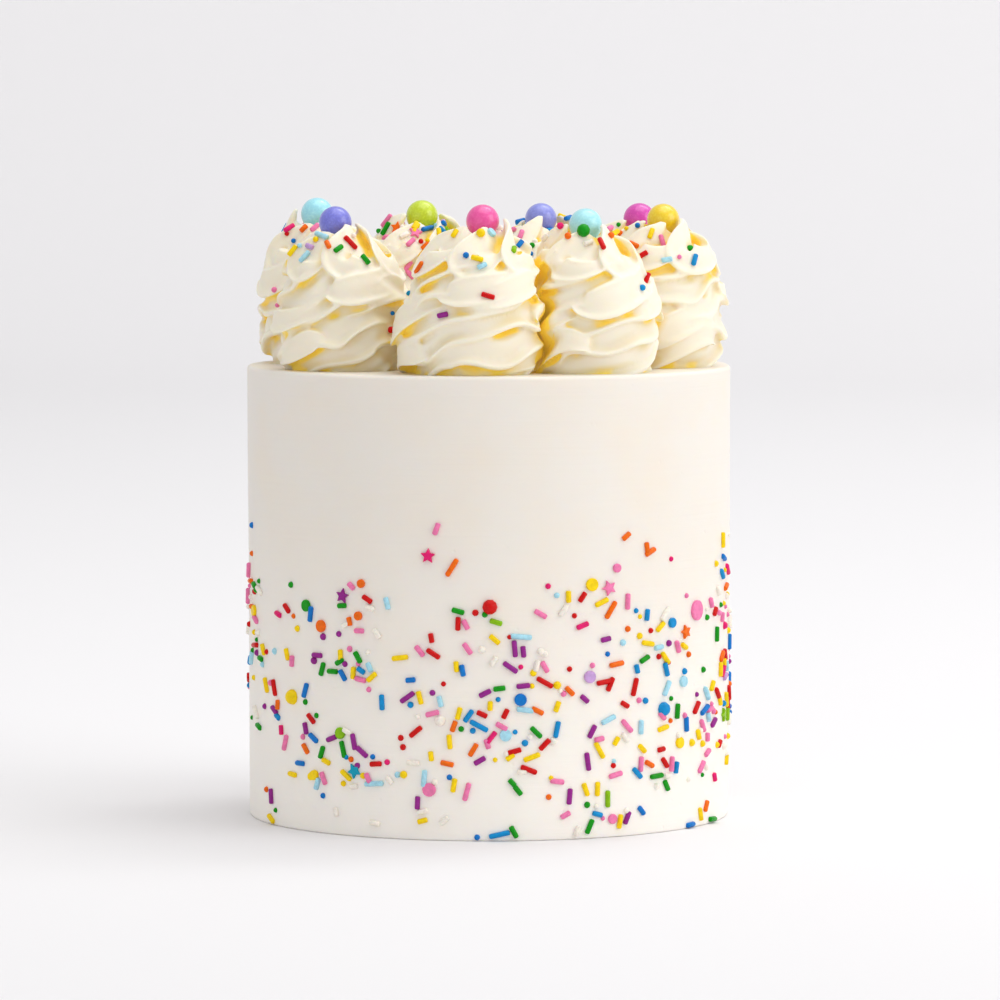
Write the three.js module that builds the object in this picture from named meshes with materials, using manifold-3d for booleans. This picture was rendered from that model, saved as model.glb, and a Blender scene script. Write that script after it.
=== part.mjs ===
// Birthday cake: a tall, straight-sided round cake in smooth white buttercream, with a ring of eight
// piped swirls on top, a sugar pearl on each swirl, and mixed sprinkles pressed into the lower side.
// Millimetres, +Z up. The origin is the centre of the flat base, and the front faces -Y.
import * as THREE from "three";
import { mergeVertices } from "three/addons/utils/BufferGeometryUtils.js";
import Module from "manifold-3d";

const wasm = await Module();
wasm.setup();

// ---- driving dimensions ----
const CAKE_HEIGHT = 149;
const BASE_RADIUS = 79.5;
const TOP_RADIUS = 80;
const EDGE_ROUND = 1.4; // the scraped top edge is crisp
const SIDE_FACETS = 48;
const GAP = 0.3; // between pieces that touch

const RING_RADIUS = 54.6; // swirl centres, from the cake's axis
const SWIRL_HEIGHT = 47;
const SWIRL_TURNS = 3.15;
const COLUMNS_PER_TURN = 12;
const LOBES = 6; // teeth of the star nozzle
const CREST_REACH = 1.07; // a ridge's edge, in rope radii
const VALLEY_REACH = 0.68; // a groove's floor, in rope radii
const CREASE_REACH = 0.35; // the crease between two turns of rope, in rope radii
const RIDGE_HANG = 9; // degrees that a ridge's edge hangs below its root
const RIDGE_SWAY = [0.14, 0.1]; // radians that ridges wander from an even climb, in two waves
const RIDGE_UNEVEN = 0.06; // share by which ridges differ in reach
const ROPE_START = -0.8; // turns under the cake's top at which the rope's skin begins
const PRESS_DEPTH = 2.2; // how deep neighbouring swirls flatten each other
const CROWN_FLOOR = { reach: 4.2, height: 41.4 };
const CROWN_UNEVEN = 0.07;

const PEARL_RADIUS = 5.35;
const PEARL_SINK = 4.85; // how far a pearl's lowest point is under the swirl's height

// The rope of buttercream, by turns from where it starts: distance of its centre from the swirl's
// axis, height of its centre, and its radius. It lies flat for most of a turn, then climbs on itself.
const ROPE_STATIONS = [
  { turn: -1, path: 15.2, lift: -10.5, radius: 8.4 },
  { turn: 0, path: 15.2, lift: 5.6, radius: 8.4 },
  { turn: 0.8, path: 14.8, lift: 7.8, radius: 8.3 },
  { turn: 1.8, path: 13.2, lift: 21.0, radius: 8.0 },
  { turn: 2.5, path: 11.2, lift: 29.6, radius: 7.6 },
  { turn: 3.1, path: 7.8, lift: 35.4, radius: 6.4 },
  { turn: 4.1, path: 1.6, lift: 41.8, radius: 2.8 },
];

// The crown that the nozzle's teeth leave when it is pulled away: height, reach and degrees of twist of
// its ridges, and height and reach of the grooves between them, from its root to its rim.
const CROWN_RINGS = [
  { ridge: [31.0, 12.2, 0], groove: [31.0, 10.4] },
  { ridge: [38.4, 13.6, 24], groove: [38.4, 9.8] },
  { ridge: [46.4, 7.2, 40], groove: [42.6, 6.8] },
];

// Each swirl: its place round the ring from the front, where its rope starts, its width, how firmly it
// pushes into its neighbours, how far its tip leans to +X, where its uneven waves begin, and how much
// taller than the rest it is.
const SWIRLS = [
  { name: "swirl_1", around: -6, start: 205, width: 1.0, push: 2.5, lean: 3.9, wave: 0.4, rise: 1.5 },
  { name: "swirl_2", around: 36, start: 250, width: 0.97, push: 0, lean: -0.6, wave: 1.9, rise: 0 },
  { name: "swirl_3", around: 83, start: 310, width: 0.97, push: 0, lean: 3.4, wave: 3.1, rise: 0.6 },
  { name: "swirl_4", around: 121, start: 20, width: 0.95, push: 0, lean: 3.7, wave: 4.4, rise: 0 },
  { name: "swirl_5", around: 164, start: 75, width: 0.97, push: 1, lean: 2.6, wave: 5.2, rise: -0.6 },
  { name: "swirl_6", around: 208, start: 130, width: 0.97, push: 0, lean: 3.0, wave: 1.0, rise: 0.5 },
  { name: "swirl_7", around: 255, start: 160, width: 0.98, push: 0, lean: -4.4, wave: 2.6, rise: 2.1 },
  { name: "swirl_8", around: 301.5, start: 225, width: 0.95, push: 0, lean: -3.4, wave: 3.8, rise: 0.3 },
];

const SPRINKLE_SEED = 20817;
const SIDE_SPRINKLES = 104; // the largest of the scatter
const SWIRL_SPRINKLES = 2; // on each swirl, on its outer side
const SWIRL_SPRINKLE_ARC = 250; // degrees
const SWIRL_SPRINKLE_HEIGHTS = [31, 38];
const FLOOR_SPRINKLES = 6; // on the cake's top, inside the ring
const FLOOR_RADIUS = 22;
const PRESSED_IN = { rod: 0.3, ball: 0.5, disc: 0.3, star: 0.3, heart: 0.3 }; // shares of a thickness
const ROD_RADIUS = 0.76;
const FLAT_THICKNESS = 1.3;
const CROWDING = 0.36; // closest centres, in shares of two sprinkles' sizes
const BACK_HANDFULS = 22;
const BACK_FROM = 98; // degrees round from the front, by +X
const BACK_TO = 262;

const COLOURS = {
  buttercream: 0xfbf6ea,
  piped: 0xfbf3dc,
  pearls: [0xe0559c, 0x9edbe2, 0xf2c418, 0xc84fb0, 0x8f8fd6, 0xb3d12c, 0xa5dfe6, 0x7f7ccb],
};

const radians = (angle) => (angle * Math.PI) / 180;

// Repeatable random numbers from 0 to 1.
function randomFrom(seed) {
  let state = seed >>> 0;
  return () => {
    state = (Math.imul(state, 1664525) + 1013904223) >>> 0;
    return state / 4294967296;
  };
}

// ---- solids and meshes ----
function solid(geometry) {
  const bare = new THREE.BufferGeometry();
  bare.setAttribute("position", geometry.getAttribute("position").clone());
  bare.setIndex(geometry.getIndex());
  const merged = mergeVertices(bare, 1e-4);
  return new wasm.Manifold(
    new wasm.Mesh({
      numProp: 3,
      vertProperties: merged.attributes.position.array,
      triVerts: new Uint32Array(merged.index.array),
    }),
  );
}

function geometryOf(body) {
  const made = body.getMesh();
  const geometry = new THREE.BufferGeometry();
  geometry.setAttribute("position", new THREE.BufferAttribute(new Float32Array(made.vertProperties), 3));
  geometry.setIndex(new THREE.BufferAttribute(new Uint32Array(made.triVerts), 1));
  return geometry;
}

function namedMesh(name, geometry, material) {
  geometry.computeVertexNormals();
  const mesh = new THREE.Mesh(geometry, material);
  mesh.name = name;
  return mesh;
}

// Many small bodies are joined in pairs, which keeps each join small.
function joinAll(bodies) {
  let row = bodies;
  while (row.length > 1) {
    const next = [];
    for (let i = 0; i < row.length; i += 2) {
      next.push(i + 1 < row.length ? row[i].add(row[i + 1]) : row[i]);
    }
    row = next;
  }
  return row[0];
}

// ---- sprinkles: length along X, thickness along Z, centred ----
function rodShape(length) {
  const corners = 6;
  const outline = [];
  for (let i = 0; i < corners; i++) {
    const angle = (2 * Math.PI * i) / corners;
    outline.push(new THREE.Vector2(ROD_RADIUS * Math.cos(angle), ROD_RADIUS * Math.sin(angle)));
  }
  const settings = { depth: length, bevelEnabled: false };
  const rod = new THREE.ExtrudeGeometry(new THREE.Shape(outline), settings).translate(0, 0, -length / 2);
  return rod.rotateZ(Math.PI / 2).rotateY(Math.PI / 2);
}

function ballShape(diameter) {
  const detail = diameter > 3 ? 1 : 0;
  return new THREE.IcosahedronGeometry(diameter / 2, detail);
}

// A thin piece with one outline, given by the distance of each corner from its middle.
function flatShape(corners, reachAt) {
  const outline = [];
  for (let i = 0; i < corners; i++) {
    const angle = (2 * Math.PI * i) / corners;
    outline.push(new THREE.Vector2(reachAt(i, angle) * Math.cos(angle), reachAt(i, angle) * Math.sin(angle)));
  }
  const settings = { depth: FLAT_THICKNESS, bevelEnabled: false };
  return new THREE.ExtrudeGeometry(new THREE.Shape(outline), settings).translate(0, 0, -FLAT_THICKNESS / 2);
}

function sprinkleShape(kind, size) {
  if (kind === "rod") return rodShape(size);
  if (kind === "ball") return ballShape(size);
  if (kind === "star") return flatShape(10, (i) => (i % 2 ? size * 0.27 : size * 0.54));
  if (kind === "heart") {
    return flatShape(10, (i, angle) => size * (0.44 + 0.12 * Math.cos(2 * angle) - 0.1 * Math.cos(angle)));
  }
  return flatShape(8, () => size / 2);
}

// A sprinkle lying on a surface: its middle, the way out of the surface, and its turn about that way.
function layOn(kind, size, point, outward, turn) {
  let thickness = FLAT_THICKNESS;
  if (kind === "rod") thickness = 2 * ROD_RADIUS;
  if (kind === "ball") thickness = size;
  const steady = Math.abs(outward.z) > 0.9 ? new THREE.Vector3(0, -1, 0) : new THREE.Vector3(0, 0, 1);
  const level = steady.cross(outward).normalize();
  const rising = outward.clone().cross(level);
  const along = level.clone().multiplyScalar(Math.cos(turn)).addScaledVector(rising, Math.sin(turn));
  const across = outward.clone().cross(along);
  const place = new THREE.Matrix4().makeBasis(along, across, outward);
  place.setPosition(point.clone().addScaledVector(outward, thickness * (0.5 - PRESSED_IN[kind])));
  return solid(sprinkleShape(kind, size).applyMatrix4(place));
}

// ---- the scatter on the cake's side ----
// The pieces that stand out: kind, size, degrees from the front, height, degrees of turn.
const CHOSEN = [
  ["rod", 4.0, -12, 100.3, 70],
  ["star", 4.6, -14, 91.6, 15],
  ["rod", 6.4, -8.4, 88, 58],
  ["ball", 5.0, 0.3, 75.4, 0],
  ["star", 4.6, -36, 77.7, 80],
  ["disc", 2.8, -30.8, 82, 0],
  ["disc", 2.9, -31.6, 71.5, 0],
  ["disc", 4.0, -42.6, 67.4, 0],
  ["disc", 3.9, -47.6, 73.6, 0],
  ["disc", 3.8, -36.8, 33.2, 0],
  ["ball", 5.2, -53, 43.3, 0],
  ["star", 4.8, -32.8, 21.3, 120],
  ["heart", 4.4, -45.7, 18.4, 200],
  ["rod", 6.8, 7.5, 65.8, -5],
  ["disc", 4.2, 24.5, 82, 0],
  ["star", 4.8, 28.9, 80.7, 40],
  ["rod", 6.4, 29.4, 73.6, 56],
  ["rod", 3.6, 39.6, 93, 100],
  ["rod", 4.4, 40.6, 91.6, 25],
  ["disc", 6.6, 57.9, 71.1, 0],
  ["rod", 5.2, 27.6, 50.4, 8],
  ["rod", 4.8, 29.3, 49.6, 65],
  ["rod", 6.0, 36.1, 48.2, 75],
  ["ball", 4.8, 45.2, 40.2, 0],
  ["disc", 4.0, 24, 52.3, 0],
  ["rod", 4.6, -4.6, 40.4, 55],
  ["rod", 6.4, -2.2, 37.2, -28],
  ["ball", 3.6, -11.2, 38.7, 0],
  ["disc", 4.4, -13.8, 16.4, 0],
  ["rod", 6.8, -27.5, 17.6, 5],
  ["rod", 6.8, 2.5, 2.2, 12],
  ["rod", 4.2, 5.8, 3.0, -62],
  ["rod", 6.0, 26.5, 28.5, -60],
  ["ball", 2.2, -77, 97, 0],
];

// Where handfuls landed: degrees from the front, height, spread of each, and how many.
const HANDFULS = [
  [-76, 80, 5, 7, 11], [-71, 60, 8, 9, 8], [-67, 41, 6, 9, 17], [-50, 70, 5, 4, 8], [-33, 77, 4, 5, 8],
  [-36, 56, 6, 3, 14], [-45, 32, 9, 5, 18], [-33, 23, 6, 5, 16], [-16, 48, 4, 7, 8], [-5, 70, 4, 3, 6],
  [-4, 40, 5, 6, 12], [6, 57, 5, 6, 20], [9, 40, 6, 5, 11], [17, 48, 5, 6, 10], [28, 76, 5, 5, 8],
  [34, 64, 7, 5, 8], [33, 46, 5, 5, 6], [46, 57, 7, 6, 11], [50, 42, 7, 7, 11], [44, 72, 5, 4, 3],
  [74, 76, 5, 8, 14], [76, 58, 5, 7, 17], [79, 36, 5, 9, 20], [62, 36, 6, 6, 12], [37, 25, 7, 6, 11],
  [24, 18, 5, 5, 9], [22, 7, 4, 4, 6], [31, 6, 3, 3, 4], [-13, 20, 6, 6, 7], [8, 30, 6, 5, 8],
  [60, 22, 7, 7, 5], [-60, 8, 9, 4, 5], [-12, 5, 7, 3, 3], [63, 4, 5, 2, 3],
];

// Shares of the mix, each up to its own mark.
const KINDS = [["rod", 0.64], ["ball", 0.965], ["disc", 0.985], ["star", 0.993], ["heart", 1]];
const WHITE_FROM = 0.86; // the mix's white share is small balls and rods

function pick(table, share) {
  return table.find((entry) => share < entry[1])[0];
}

// A spread of about one, from three even draws.
const bell = (draw) => 2 * (draw() + draw() + draw() - 1.5);

function drawSprinkle(draw, around, height) {
  let kind = pick(KINDS, draw());
  const white = draw() > WHITE_FROM;
  const share = draw();
  const turn = 180 * draw();
  let size = 4.4;
  if (kind === "rod") size = 2.8 + 2.8 * share;
  if (kind === "ball") size = 1.6 + 0.7 * share;
  if (kind === "disc") size = 3.2 + 0.9 * share;
  if (white && kind !== "rod") {
    kind = "ball";
    size = 1.6 + share;
  }
  const reachDown = kind === "rod" ? (size / 2) * Math.sin(radians(turn)) + ROD_RADIUS : size / 2;
  return { kind, size, around, height: Math.max(height, reachDown + GAP), turn };
}

function tooClose(one, other) {
  const degreesApart = ((((one.around - other.around + 180) % 360) + 360) % 360) - 180;
  const apart = Math.hypot(radians(degreesApart) * TOP_RADIUS, one.height - other.height);
  return apart < CROWDING * (one.size + other.size);
}

function sideScatter() {
  const draw = randomFrom(SPRINKLE_SEED);
  const lying = CHOSEN.map(([kind, size, around, height, turn]) => ({ kind, size, around, height, turn }));
  const handfuls = [...HANDFULS];
  for (let i = 0; i < BACK_HANDFULS; i++) {
    const around = BACK_FROM + ((BACK_TO - BACK_FROM) * (i + draw())) / BACK_HANDFULS;
    handfuls.push([around, 22 + 48 * draw(), 6 + 4 * draw(), 5 + 6 * draw(), 8 + Math.floor(10 * draw())]);
  }
  for (const [around, height, aroundSpread, heightSpread, count] of handfuls) {
    for (let i = 0; i < count; i++) {
      const degreesRound = around + aroundSpread * bell(draw);
      const next = drawSprinkle(draw, degreesRound, height + heightSpread * bell(draw));
      if (!lying.some((other) => tooClose(other, next))) lying.push(next);
    }
  }
  return lying;
}

// ---- the cake ----
const sideRadius = (height) => BASE_RADIUS + ((TOP_RADIUS - BASE_RADIUS) * height) / CAKE_HEIGHT;

function cakeShape() {
  const diagonal = EDGE_ROUND * (1 - Math.SQRT1_2);
  const profile = [
    new THREE.Vector2(0, 0),
    new THREE.Vector2(BASE_RADIUS, 0),
    new THREE.Vector2(TOP_RADIUS, CAKE_HEIGHT - EDGE_ROUND),
    new THREE.Vector2(TOP_RADIUS - diagonal, CAKE_HEIGHT - diagonal),
    new THREE.Vector2(TOP_RADIUS - EDGE_ROUND, CAKE_HEIGHT),
    new THREE.Vector2(0, CAKE_HEIGHT),
  ];
  return new THREE.LatheGeometry(profile, SIDE_FACETS).rotateX(Math.PI / 2);
}

function sideSprinkles() {
  const largest = sideScatter().sort((one, other) => other.size - one.size);
  return largest.slice(0, SIDE_SPRINKLES).map(({ kind, size, around, height, turn }) => {
    const outward = new THREE.Vector3(Math.sin(radians(around)), -Math.cos(radians(around)), 0);
    const facetMiddle = Math.cos(Math.PI / SIDE_FACETS);
    const point = outward.clone().multiplyScalar(sideRadius(height) * facetMiddle).setZ(height);
    return layOn(kind, size, point, outward, radians(turn));
  });
}

function floorSprinkles() {
  const draw = randomFrom(SPRINKLE_SEED + SWIRLS.length + 1);
  const laid = [];
  for (let i = 0; i < FLOOR_SPRINKLES; i++) {
    const angle = (2 * Math.PI * (i + draw() * 0.5)) / FLOOR_SPRINKLES;
    const reach = FLOOR_RADIUS * (0.35 + 0.6 * draw());
    const point = new THREE.Vector3(reach * Math.cos(angle), reach * Math.sin(angle), CAKE_HEIGHT);
    laid.push(layOn("rod", 4.6 + draw(), point, new THREE.Vector3(0, 0, 1), Math.PI * draw()));
  }
  return laid;
}

function cakeBody() {
  return joinAll([solid(cakeShape()), ...sideSprinkles(), ...floorSprinkles()]);
}

// ---- the swirls ----
function ropeAt(turn) {
  const stations = ROPE_STATIONS;
  let i = 0;
  while (i < stations.length - 2 && turn > stations[i + 1].turn) i++;
  const before = stations[Math.max(i - 1, 0)];
  const from = stations[i];
  const to = stations[i + 1];
  const after = stations[Math.min(i + 2, stations.length - 1)];
  const step = to.turn - from.turn;
  const t = (turn - from.turn) / step;
  const eased = (name) => {
    if (t < 0) return from[name] + ((to[name] - from[name]) * (turn - from.turn)) / step;
    const slopeFrom = ((to[name] - before[name]) / (to.turn - before.turn)) * step;
    const slopeTo = ((after[name] - from[name]) / (after.turn - from.turn)) * step;
    const bend = 3 * (to[name] - from[name]) - 2 * slopeFrom - slopeTo;
    const twist = slopeFrom + slopeTo - 2 * (to[name] - from[name]);
    return from[name] + t * (slopeFrom + t * (bend + t * twist));
  };
  return { path: eased("path"), lift: eased("lift"), radius: eased("radius") };
}

// The middle of a swirl on the cake's top.
function swirlCentre(swirl) {
  const angle = radians(swirl.around);
  return new THREE.Vector3(RING_RADIUS * Math.sin(angle), -RING_RADIUS * Math.cos(angle), 0);
}

// Soft neighbours flatten against a plane between them, each keeping half the gap.
function pressed(point, swirl, other) {
  const centre = swirlCentre(swirl);
  const towards = swirlCentre(other).sub(centre);
  const apart = towards.length();
  towards.normalize();
  const plane = (apart * swirl.width) / (swirl.width + other.width) + (swirl.push - other.push) / 2;
  const past = point.clone().sub(centre).dot(towards) - plane;
  if (past < -PRESS_DEPTH) return point;
  const room = PRESS_DEPTH - GAP / 2;
  const kept = -PRESS_DEPTH + room * (1 - Math.exp(-(past + PRESS_DEPTH) / room));
  return point.clone().addScaledVector(towards, kept - past);
}

// From a swirl's own round and height to the cake's frame, with its lean and its flattened sides.
function swirlPoint(swirl, reach, angle, height) {
  const up = height / SWIRL_HEIGHT;
  const lean = height > 0 ? swirl.lean * up * up : 0;
  const local = new THREE.Vector3(
    swirl.width * reach * Math.cos(angle) + lean,
    swirl.width * reach * Math.sin(angle),
    height * (1 + swirl.rise / SWIRL_HEIGHT),
  );
  const index = SWIRLS.indexOf(swirl);
  let point = local.add(swirlCentre(swirl));
  for (const step of [1, SWIRLS.length - 1]) {
    point = pressed(point, swirl, SWIRLS[(index + step) % SWIRLS.length]);
  }
  return point.setZ(point.z + CAKE_HEIGHT + GAP);
}

const angleAt = (swirl, turn) => radians(swirl.start) + 2 * Math.PI * turn;

// Ridges climb the rope as it goes round, because the nozzle isn't turned. Line 0 is a ridge, line 1 the
// groove above it, and so on.
function lineSection(swirl, turn, line) {
  const slowSway = RIDGE_SWAY[0] * Math.sin(4.6 * turn + swirl.wave);
  const quickSway = RIDGE_SWAY[1] * Math.sin(8.2 * turn + 2 * swirl.wave);
  return 2 * Math.PI * turn + (line * Math.PI) / LOBES + slowSway + quickSway;
}

function linePoint(swirl, turn, line) {
  const rope = ropeAt(turn);
  const ridge = line % 2 === 0;
  const uneven = 1 + RIDGE_UNEVEN * Math.sin(3.8 * turn + 3 * swirl.wave + line);
  const reach = rope.radius * (ridge ? CREST_REACH * uneven : VALLEY_REACH);
  const section = lineSection(swirl, turn, line) - radians(ridge ? RIDGE_HANG : 0);
  const outwards = rope.path + reach * Math.cos(section);
  return swirlPoint(swirl, outwards, angleAt(swirl, turn), rope.lift + reach * Math.sin(section));
}

// The crease between one turn of rope and the next turn on top of it.
function creasePoint(swirl, turn) {
  const lower = ropeAt(turn);
  const upper = ropeAt(turn + 1);
  const across = new THREE.Vector2(upper.path - lower.path, upper.lift - lower.lift).normalize();
  const reach = CREASE_REACH * upper.radius;
  const outwards = (lower.path + upper.path) / 2 + across.y * reach;
  const height = (lower.lift + upper.lift) / 2 - across.x * reach;
  return swirlPoint(swirl, outwards, angleAt(swirl, turn), height);
}

// The rope's outer skin, as one strip that climbs the swirl: columns of points from a lower crease to
// the next one, closed by a cap at the top and one under the cake's top, where it is cut off level.
function ropeShape(swirl) {
  const columns = Math.round((SWIRL_TURNS - ROPE_START) * COLUMNS_PER_TURN);
  const points = [];
  const add = (point) => points.push(point) - 1;
  const turnAt = (column) => ROPE_START + column / COLUMNS_PER_TURN;
  const creases = [];
  for (let i = 0; i <= columns + COLUMNS_PER_TURN; i++) {
    creases.push(add(creasePoint(swirl, turnAt(i) - 1)));
  }
  const widest = radians(79); // ridges end short of the creases
  const strips = [];
  for (let i = 0; i <= columns; i++) {
    const turn = turnAt(i);
    const strip = [{ line: -Infinity, at: creases[i] }];
    const middle = Math.round(-2 * LOBES * turn);
    for (let line = middle - LOBES; line <= middle + LOBES; line++) {
      if (Math.abs(lineSection(swirl, turn, line)) < widest) {
        strip.push({ line, at: add(linePoint(swirl, turn, line)) });
      }
    }
    strip.push({ line: Infinity, at: creases[i + COLUMNS_PER_TURN] });
    strips.push(strip);
  }
  const faces = [];
  for (let i = 0; i < columns; i++) {
    const [left, right] = [strips[i], strips[i + 1]];
    let [a, b] = [0, 0];
    while (a < left.length - 1 || b < right.length - 1) {
      const [leftNext, rightNext] = [left[a + 1], right[b + 1]];
      if (leftNext?.line === rightNext?.line) {
        faces.push(left[a].at, right[b].at, rightNext.at, left[a].at, rightNext.at, leftNext.at);
        [a, b] = [a + 1, b + 1];
      } else if (leftNext && (!rightNext || leftNext.line < rightNext.line)) {
        faces.push(left[a].at, right[b].at, leftNext.at);
        a += 1;
      } else {
        faces.push(left[a].at, right[b].at, rightNext.at);
        b += 1;
      }
    }
  }
  const under = add(swirlPoint(swirl, 0, 0, -2 * SWIRL_HEIGHT));
  const top = add(swirlPoint(swirl, 0, 0, CROWN_FLOOR.height - 1));
  const [first, last] = [strips[0], strips[columns]];
  for (let i = 0; i < COLUMNS_PER_TURN; i++) {
    faces.push(creases[i + 1], creases[i], under);
    faces.push(creases[columns + i], creases[columns + i + 1], top);
  }
  for (let i = 0; i < first.length - 1; i++) faces.push(first[i].at, first[i + 1].at, under);
  for (let i = 0; i < last.length - 1; i++) faces.push(last[i + 1].at, last[i].at, top);
  return indexedShape(points, faces);
}

function indexedShape(points, faces) {
  const geometry = new THREE.BufferGeometry().setFromPoints(points);
  geometry.setIndex(faces);
  return geometry;
}

// Where the nozzle is pulled away, its teeth leave a crown of tips round the pearl's hollow.
function crownShape(swirl) {
  const corners = 2 * LOBES;
  const rings = CROWN_RINGS.length + 1;
  const points = [];
  for (let i = 0; i < corners; i++) {
    const uneven = 1 + CROWN_UNEVEN * Math.sin(2.4 * i + swirl.wave);
    let angle;
    for (const { ridge, groove } of CROWN_RINGS) {
      const [height, reach] = i % 2 === 0 ? ridge : groove;
      angle = radians(swirl.start + ridge[2]) + (Math.PI * i) / LOBES;
      points.push(swirlPoint(swirl, reach * uneven, angle, height + reach * (uneven - 1)));
    }
    points.push(swirlPoint(swirl, CROWN_FLOOR.reach, angle, CROWN_FLOOR.height));
  }
  const under = points.push(swirlPoint(swirl, 0, 0, CROWN_RINGS[0].ridge[0])) - 1;
  const floor = points.push(swirlPoint(swirl, 0, 0, CROWN_FLOOR.height)) - 1;
  const faces = [];
  for (let i = 0; i < corners; i++) {
    const here = rings * i;
    const next = rings * ((i + 1) % corners);
    for (let ring = 0; ring < rings - 1; ring++) {
      faces.push(here + ring, next + ring, next + ring + 1);
      faces.push(here + ring, next + ring + 1, here + ring + 1);
    }
    faces.push(here + rings - 1, next + rings - 1, floor, next, here, under);
  }
  return indexedShape(points, faces);
}

function pearlCentre(swirl) {
  const centre = swirlCentre(swirl);
  centre.x += swirl.lean;
  return centre.setZ(CAKE_HEIGHT + SWIRL_HEIGHT + swirl.rise + PEARL_RADIUS - PEARL_SINK);
}

function pearlShape() {
  return new THREE.SphereGeometry(PEARL_RADIUS, 11, 6).rotateX(Math.PI / 2);
}

// Where a level line from outside, aimed at the swirl's middle, meets its skin.
function skinAt(swirl, skin, angle, height) {
  const outward = new THREE.Vector3(Math.cos(angle), Math.sin(angle), 0);
  const from = swirlPoint(swirl, 0, 0, height).addScaledVector(outward, RING_RADIUS);
  const ray = new THREE.Raycaster(from, outward.clone().negate());
  return ray.intersectObject(skin)[0];
}

function swirlSprinkles(swirl, skin) {
  const draw = randomFrom(SPRINKLE_SEED + SWIRLS.indexOf(swirl) + 1);
  const [lowest, highest] = SWIRL_SPRINKLE_HEIGHTS;
  const laid = [];
  for (let i = 0; i < SWIRL_SPRINKLES; i++) {
    const angle = radians(swirl.around - 90 + SWIRL_SPRINKLE_ARC * (draw() - 0.5));
    const hit = skinAt(swirl, skin, angle, lowest + (highest - lowest) * draw());
    laid.push(layOn("rod", 3.4 + 1.4 * draw(), hit.point, hit.face.normal, Math.PI * draw()));
  }
  return laid;
}

function swirlBody(swirl) {
  const rope = solid(ropeShape(swirl)).add(solid(crownShape(swirl)));
  const slab = new THREE.BoxGeometry(4 * RING_RADIUS, 4 * RING_RADIUS, 4 * SWIRL_HEIGHT);
  slab.translate(0, 0, CAKE_HEIGHT + GAP - 2 * SWIRL_HEIGHT);
  const bare = rope.subtract(solid(slab));
  const skin = new THREE.Mesh(geometryOf(bare));
  return joinAll([bare, ...swirlSprinkles(swirl, skin)]);
}

// ---- the whole ----
const cake = new THREE.Group();
const smoothIcing = new THREE.MeshStandardMaterial({ color: COLOURS.buttercream, roughness: 0.55 });
const pipedIcing = new THREE.MeshStandardMaterial({ color: COLOURS.piped, roughness: 0.5 });

cake.add(namedMesh("cake_body", geometryOf(cakeBody()), smoothIcing));

SWIRLS.forEach((swirl, i) => {
  cake.add(namedMesh(swirl.name, geometryOf(swirlBody(swirl)), pipedIcing));
  const sugarShell = new THREE.MeshStandardMaterial({ color: COLOURS.pearls[i], roughness: 0.25 });
  const pearl = namedMesh(`pearl_${i + 1}`, pearlShape(), sugarShell);
  pearl.position.copy(pearlCentre(swirl));
  cake.add(pearl);
});

export default cake;
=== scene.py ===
"""Birthday cake: a tall round cake in smooth white buttercream, with a ring of piped swirls, a sugar pearl
on each swirl and mixed sprinkles round its side, on a pale studio floor. Metres, +Z up, front at -Y."""
import math

import bmesh
import bpy
import numpy as np
from mathutils import Matrix, Vector
from mathutils.bvhtree import BVHTree


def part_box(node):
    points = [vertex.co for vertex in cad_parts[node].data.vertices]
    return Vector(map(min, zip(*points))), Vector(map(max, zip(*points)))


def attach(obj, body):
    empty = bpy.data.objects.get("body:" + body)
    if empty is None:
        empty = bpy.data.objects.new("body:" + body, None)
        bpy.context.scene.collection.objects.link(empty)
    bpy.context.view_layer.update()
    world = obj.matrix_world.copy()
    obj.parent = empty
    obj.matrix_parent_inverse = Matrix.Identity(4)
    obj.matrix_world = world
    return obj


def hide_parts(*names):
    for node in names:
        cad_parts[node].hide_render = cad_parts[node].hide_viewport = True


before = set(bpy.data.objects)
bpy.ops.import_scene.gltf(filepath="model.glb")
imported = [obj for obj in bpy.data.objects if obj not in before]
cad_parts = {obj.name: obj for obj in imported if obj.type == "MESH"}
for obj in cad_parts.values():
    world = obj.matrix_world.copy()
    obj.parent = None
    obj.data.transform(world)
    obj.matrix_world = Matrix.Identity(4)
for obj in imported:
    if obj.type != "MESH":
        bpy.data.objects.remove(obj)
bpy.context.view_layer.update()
MM = 0.001  # the sizes below are in millimetres


# ==== The cake's coat =======================================================================================
# Sponge layers under a coat of warm white buttercream. A scraper held against the turning cake leaves the
# side smooth, with faint level lines and a few small pits, and the top edge crisp.
CAKE_HEIGHT = 149.0
BASE_RADIUS = 79.5
TOP_RADIUS = 80.0
EDGE_ROUND = 1.2
FOOT_ROUND = 0.7
ROUND_STEPS = 6
SIDE_RINGS = 48
TOP_RINGS = 16
COAT_SEGMENTS = 288
COAT_UNEVEN = 0.09  # how far the side wanders in and out
EDGE_UNEVEN = 0.16  # how far the top edge wanders up and down
RIM_BAND = 4.0  # how far in from the side the coat is uneven
EDGE_BAND = 6.0  # how far below the top the edge's waves end
# Slow waves in the side: number round it, millimetres up for one radian, and phase.
# Waves along the top edge: number round it, phase and weight.
SIDE_WAVES = ((3, 21, 0), (5, -34, 2), (1, 13, 0))
EDGE_WAVES = ((4, 1, 1), (9, 3, 1), (23, 0, 0.6))
COAT_COLOUR = (0.86, 0.815, 0.745)
COAT_SHADE = (0.87, 0.80, 0.70)
COAT_FOOT_PAINTED_LIGHT = (0.985, 0.93, 0.855)  # painted light: the coat is paler towards the foot, where light bounces up from the floor
PAINTED_LIGHT_BELOW = 110 * MM
SCRAPER_LINES = (14, 14, 900)  # cells of noise a metre: long round the cake and fine up it
PITS_A_METRE = 210.0


def side_radius(height):
    """The coat's radius at a height, in millimetres."""
    return BASE_RADIUS + (TOP_RADIUS - BASE_RADIUS) * height / CAKE_HEIGHT


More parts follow.
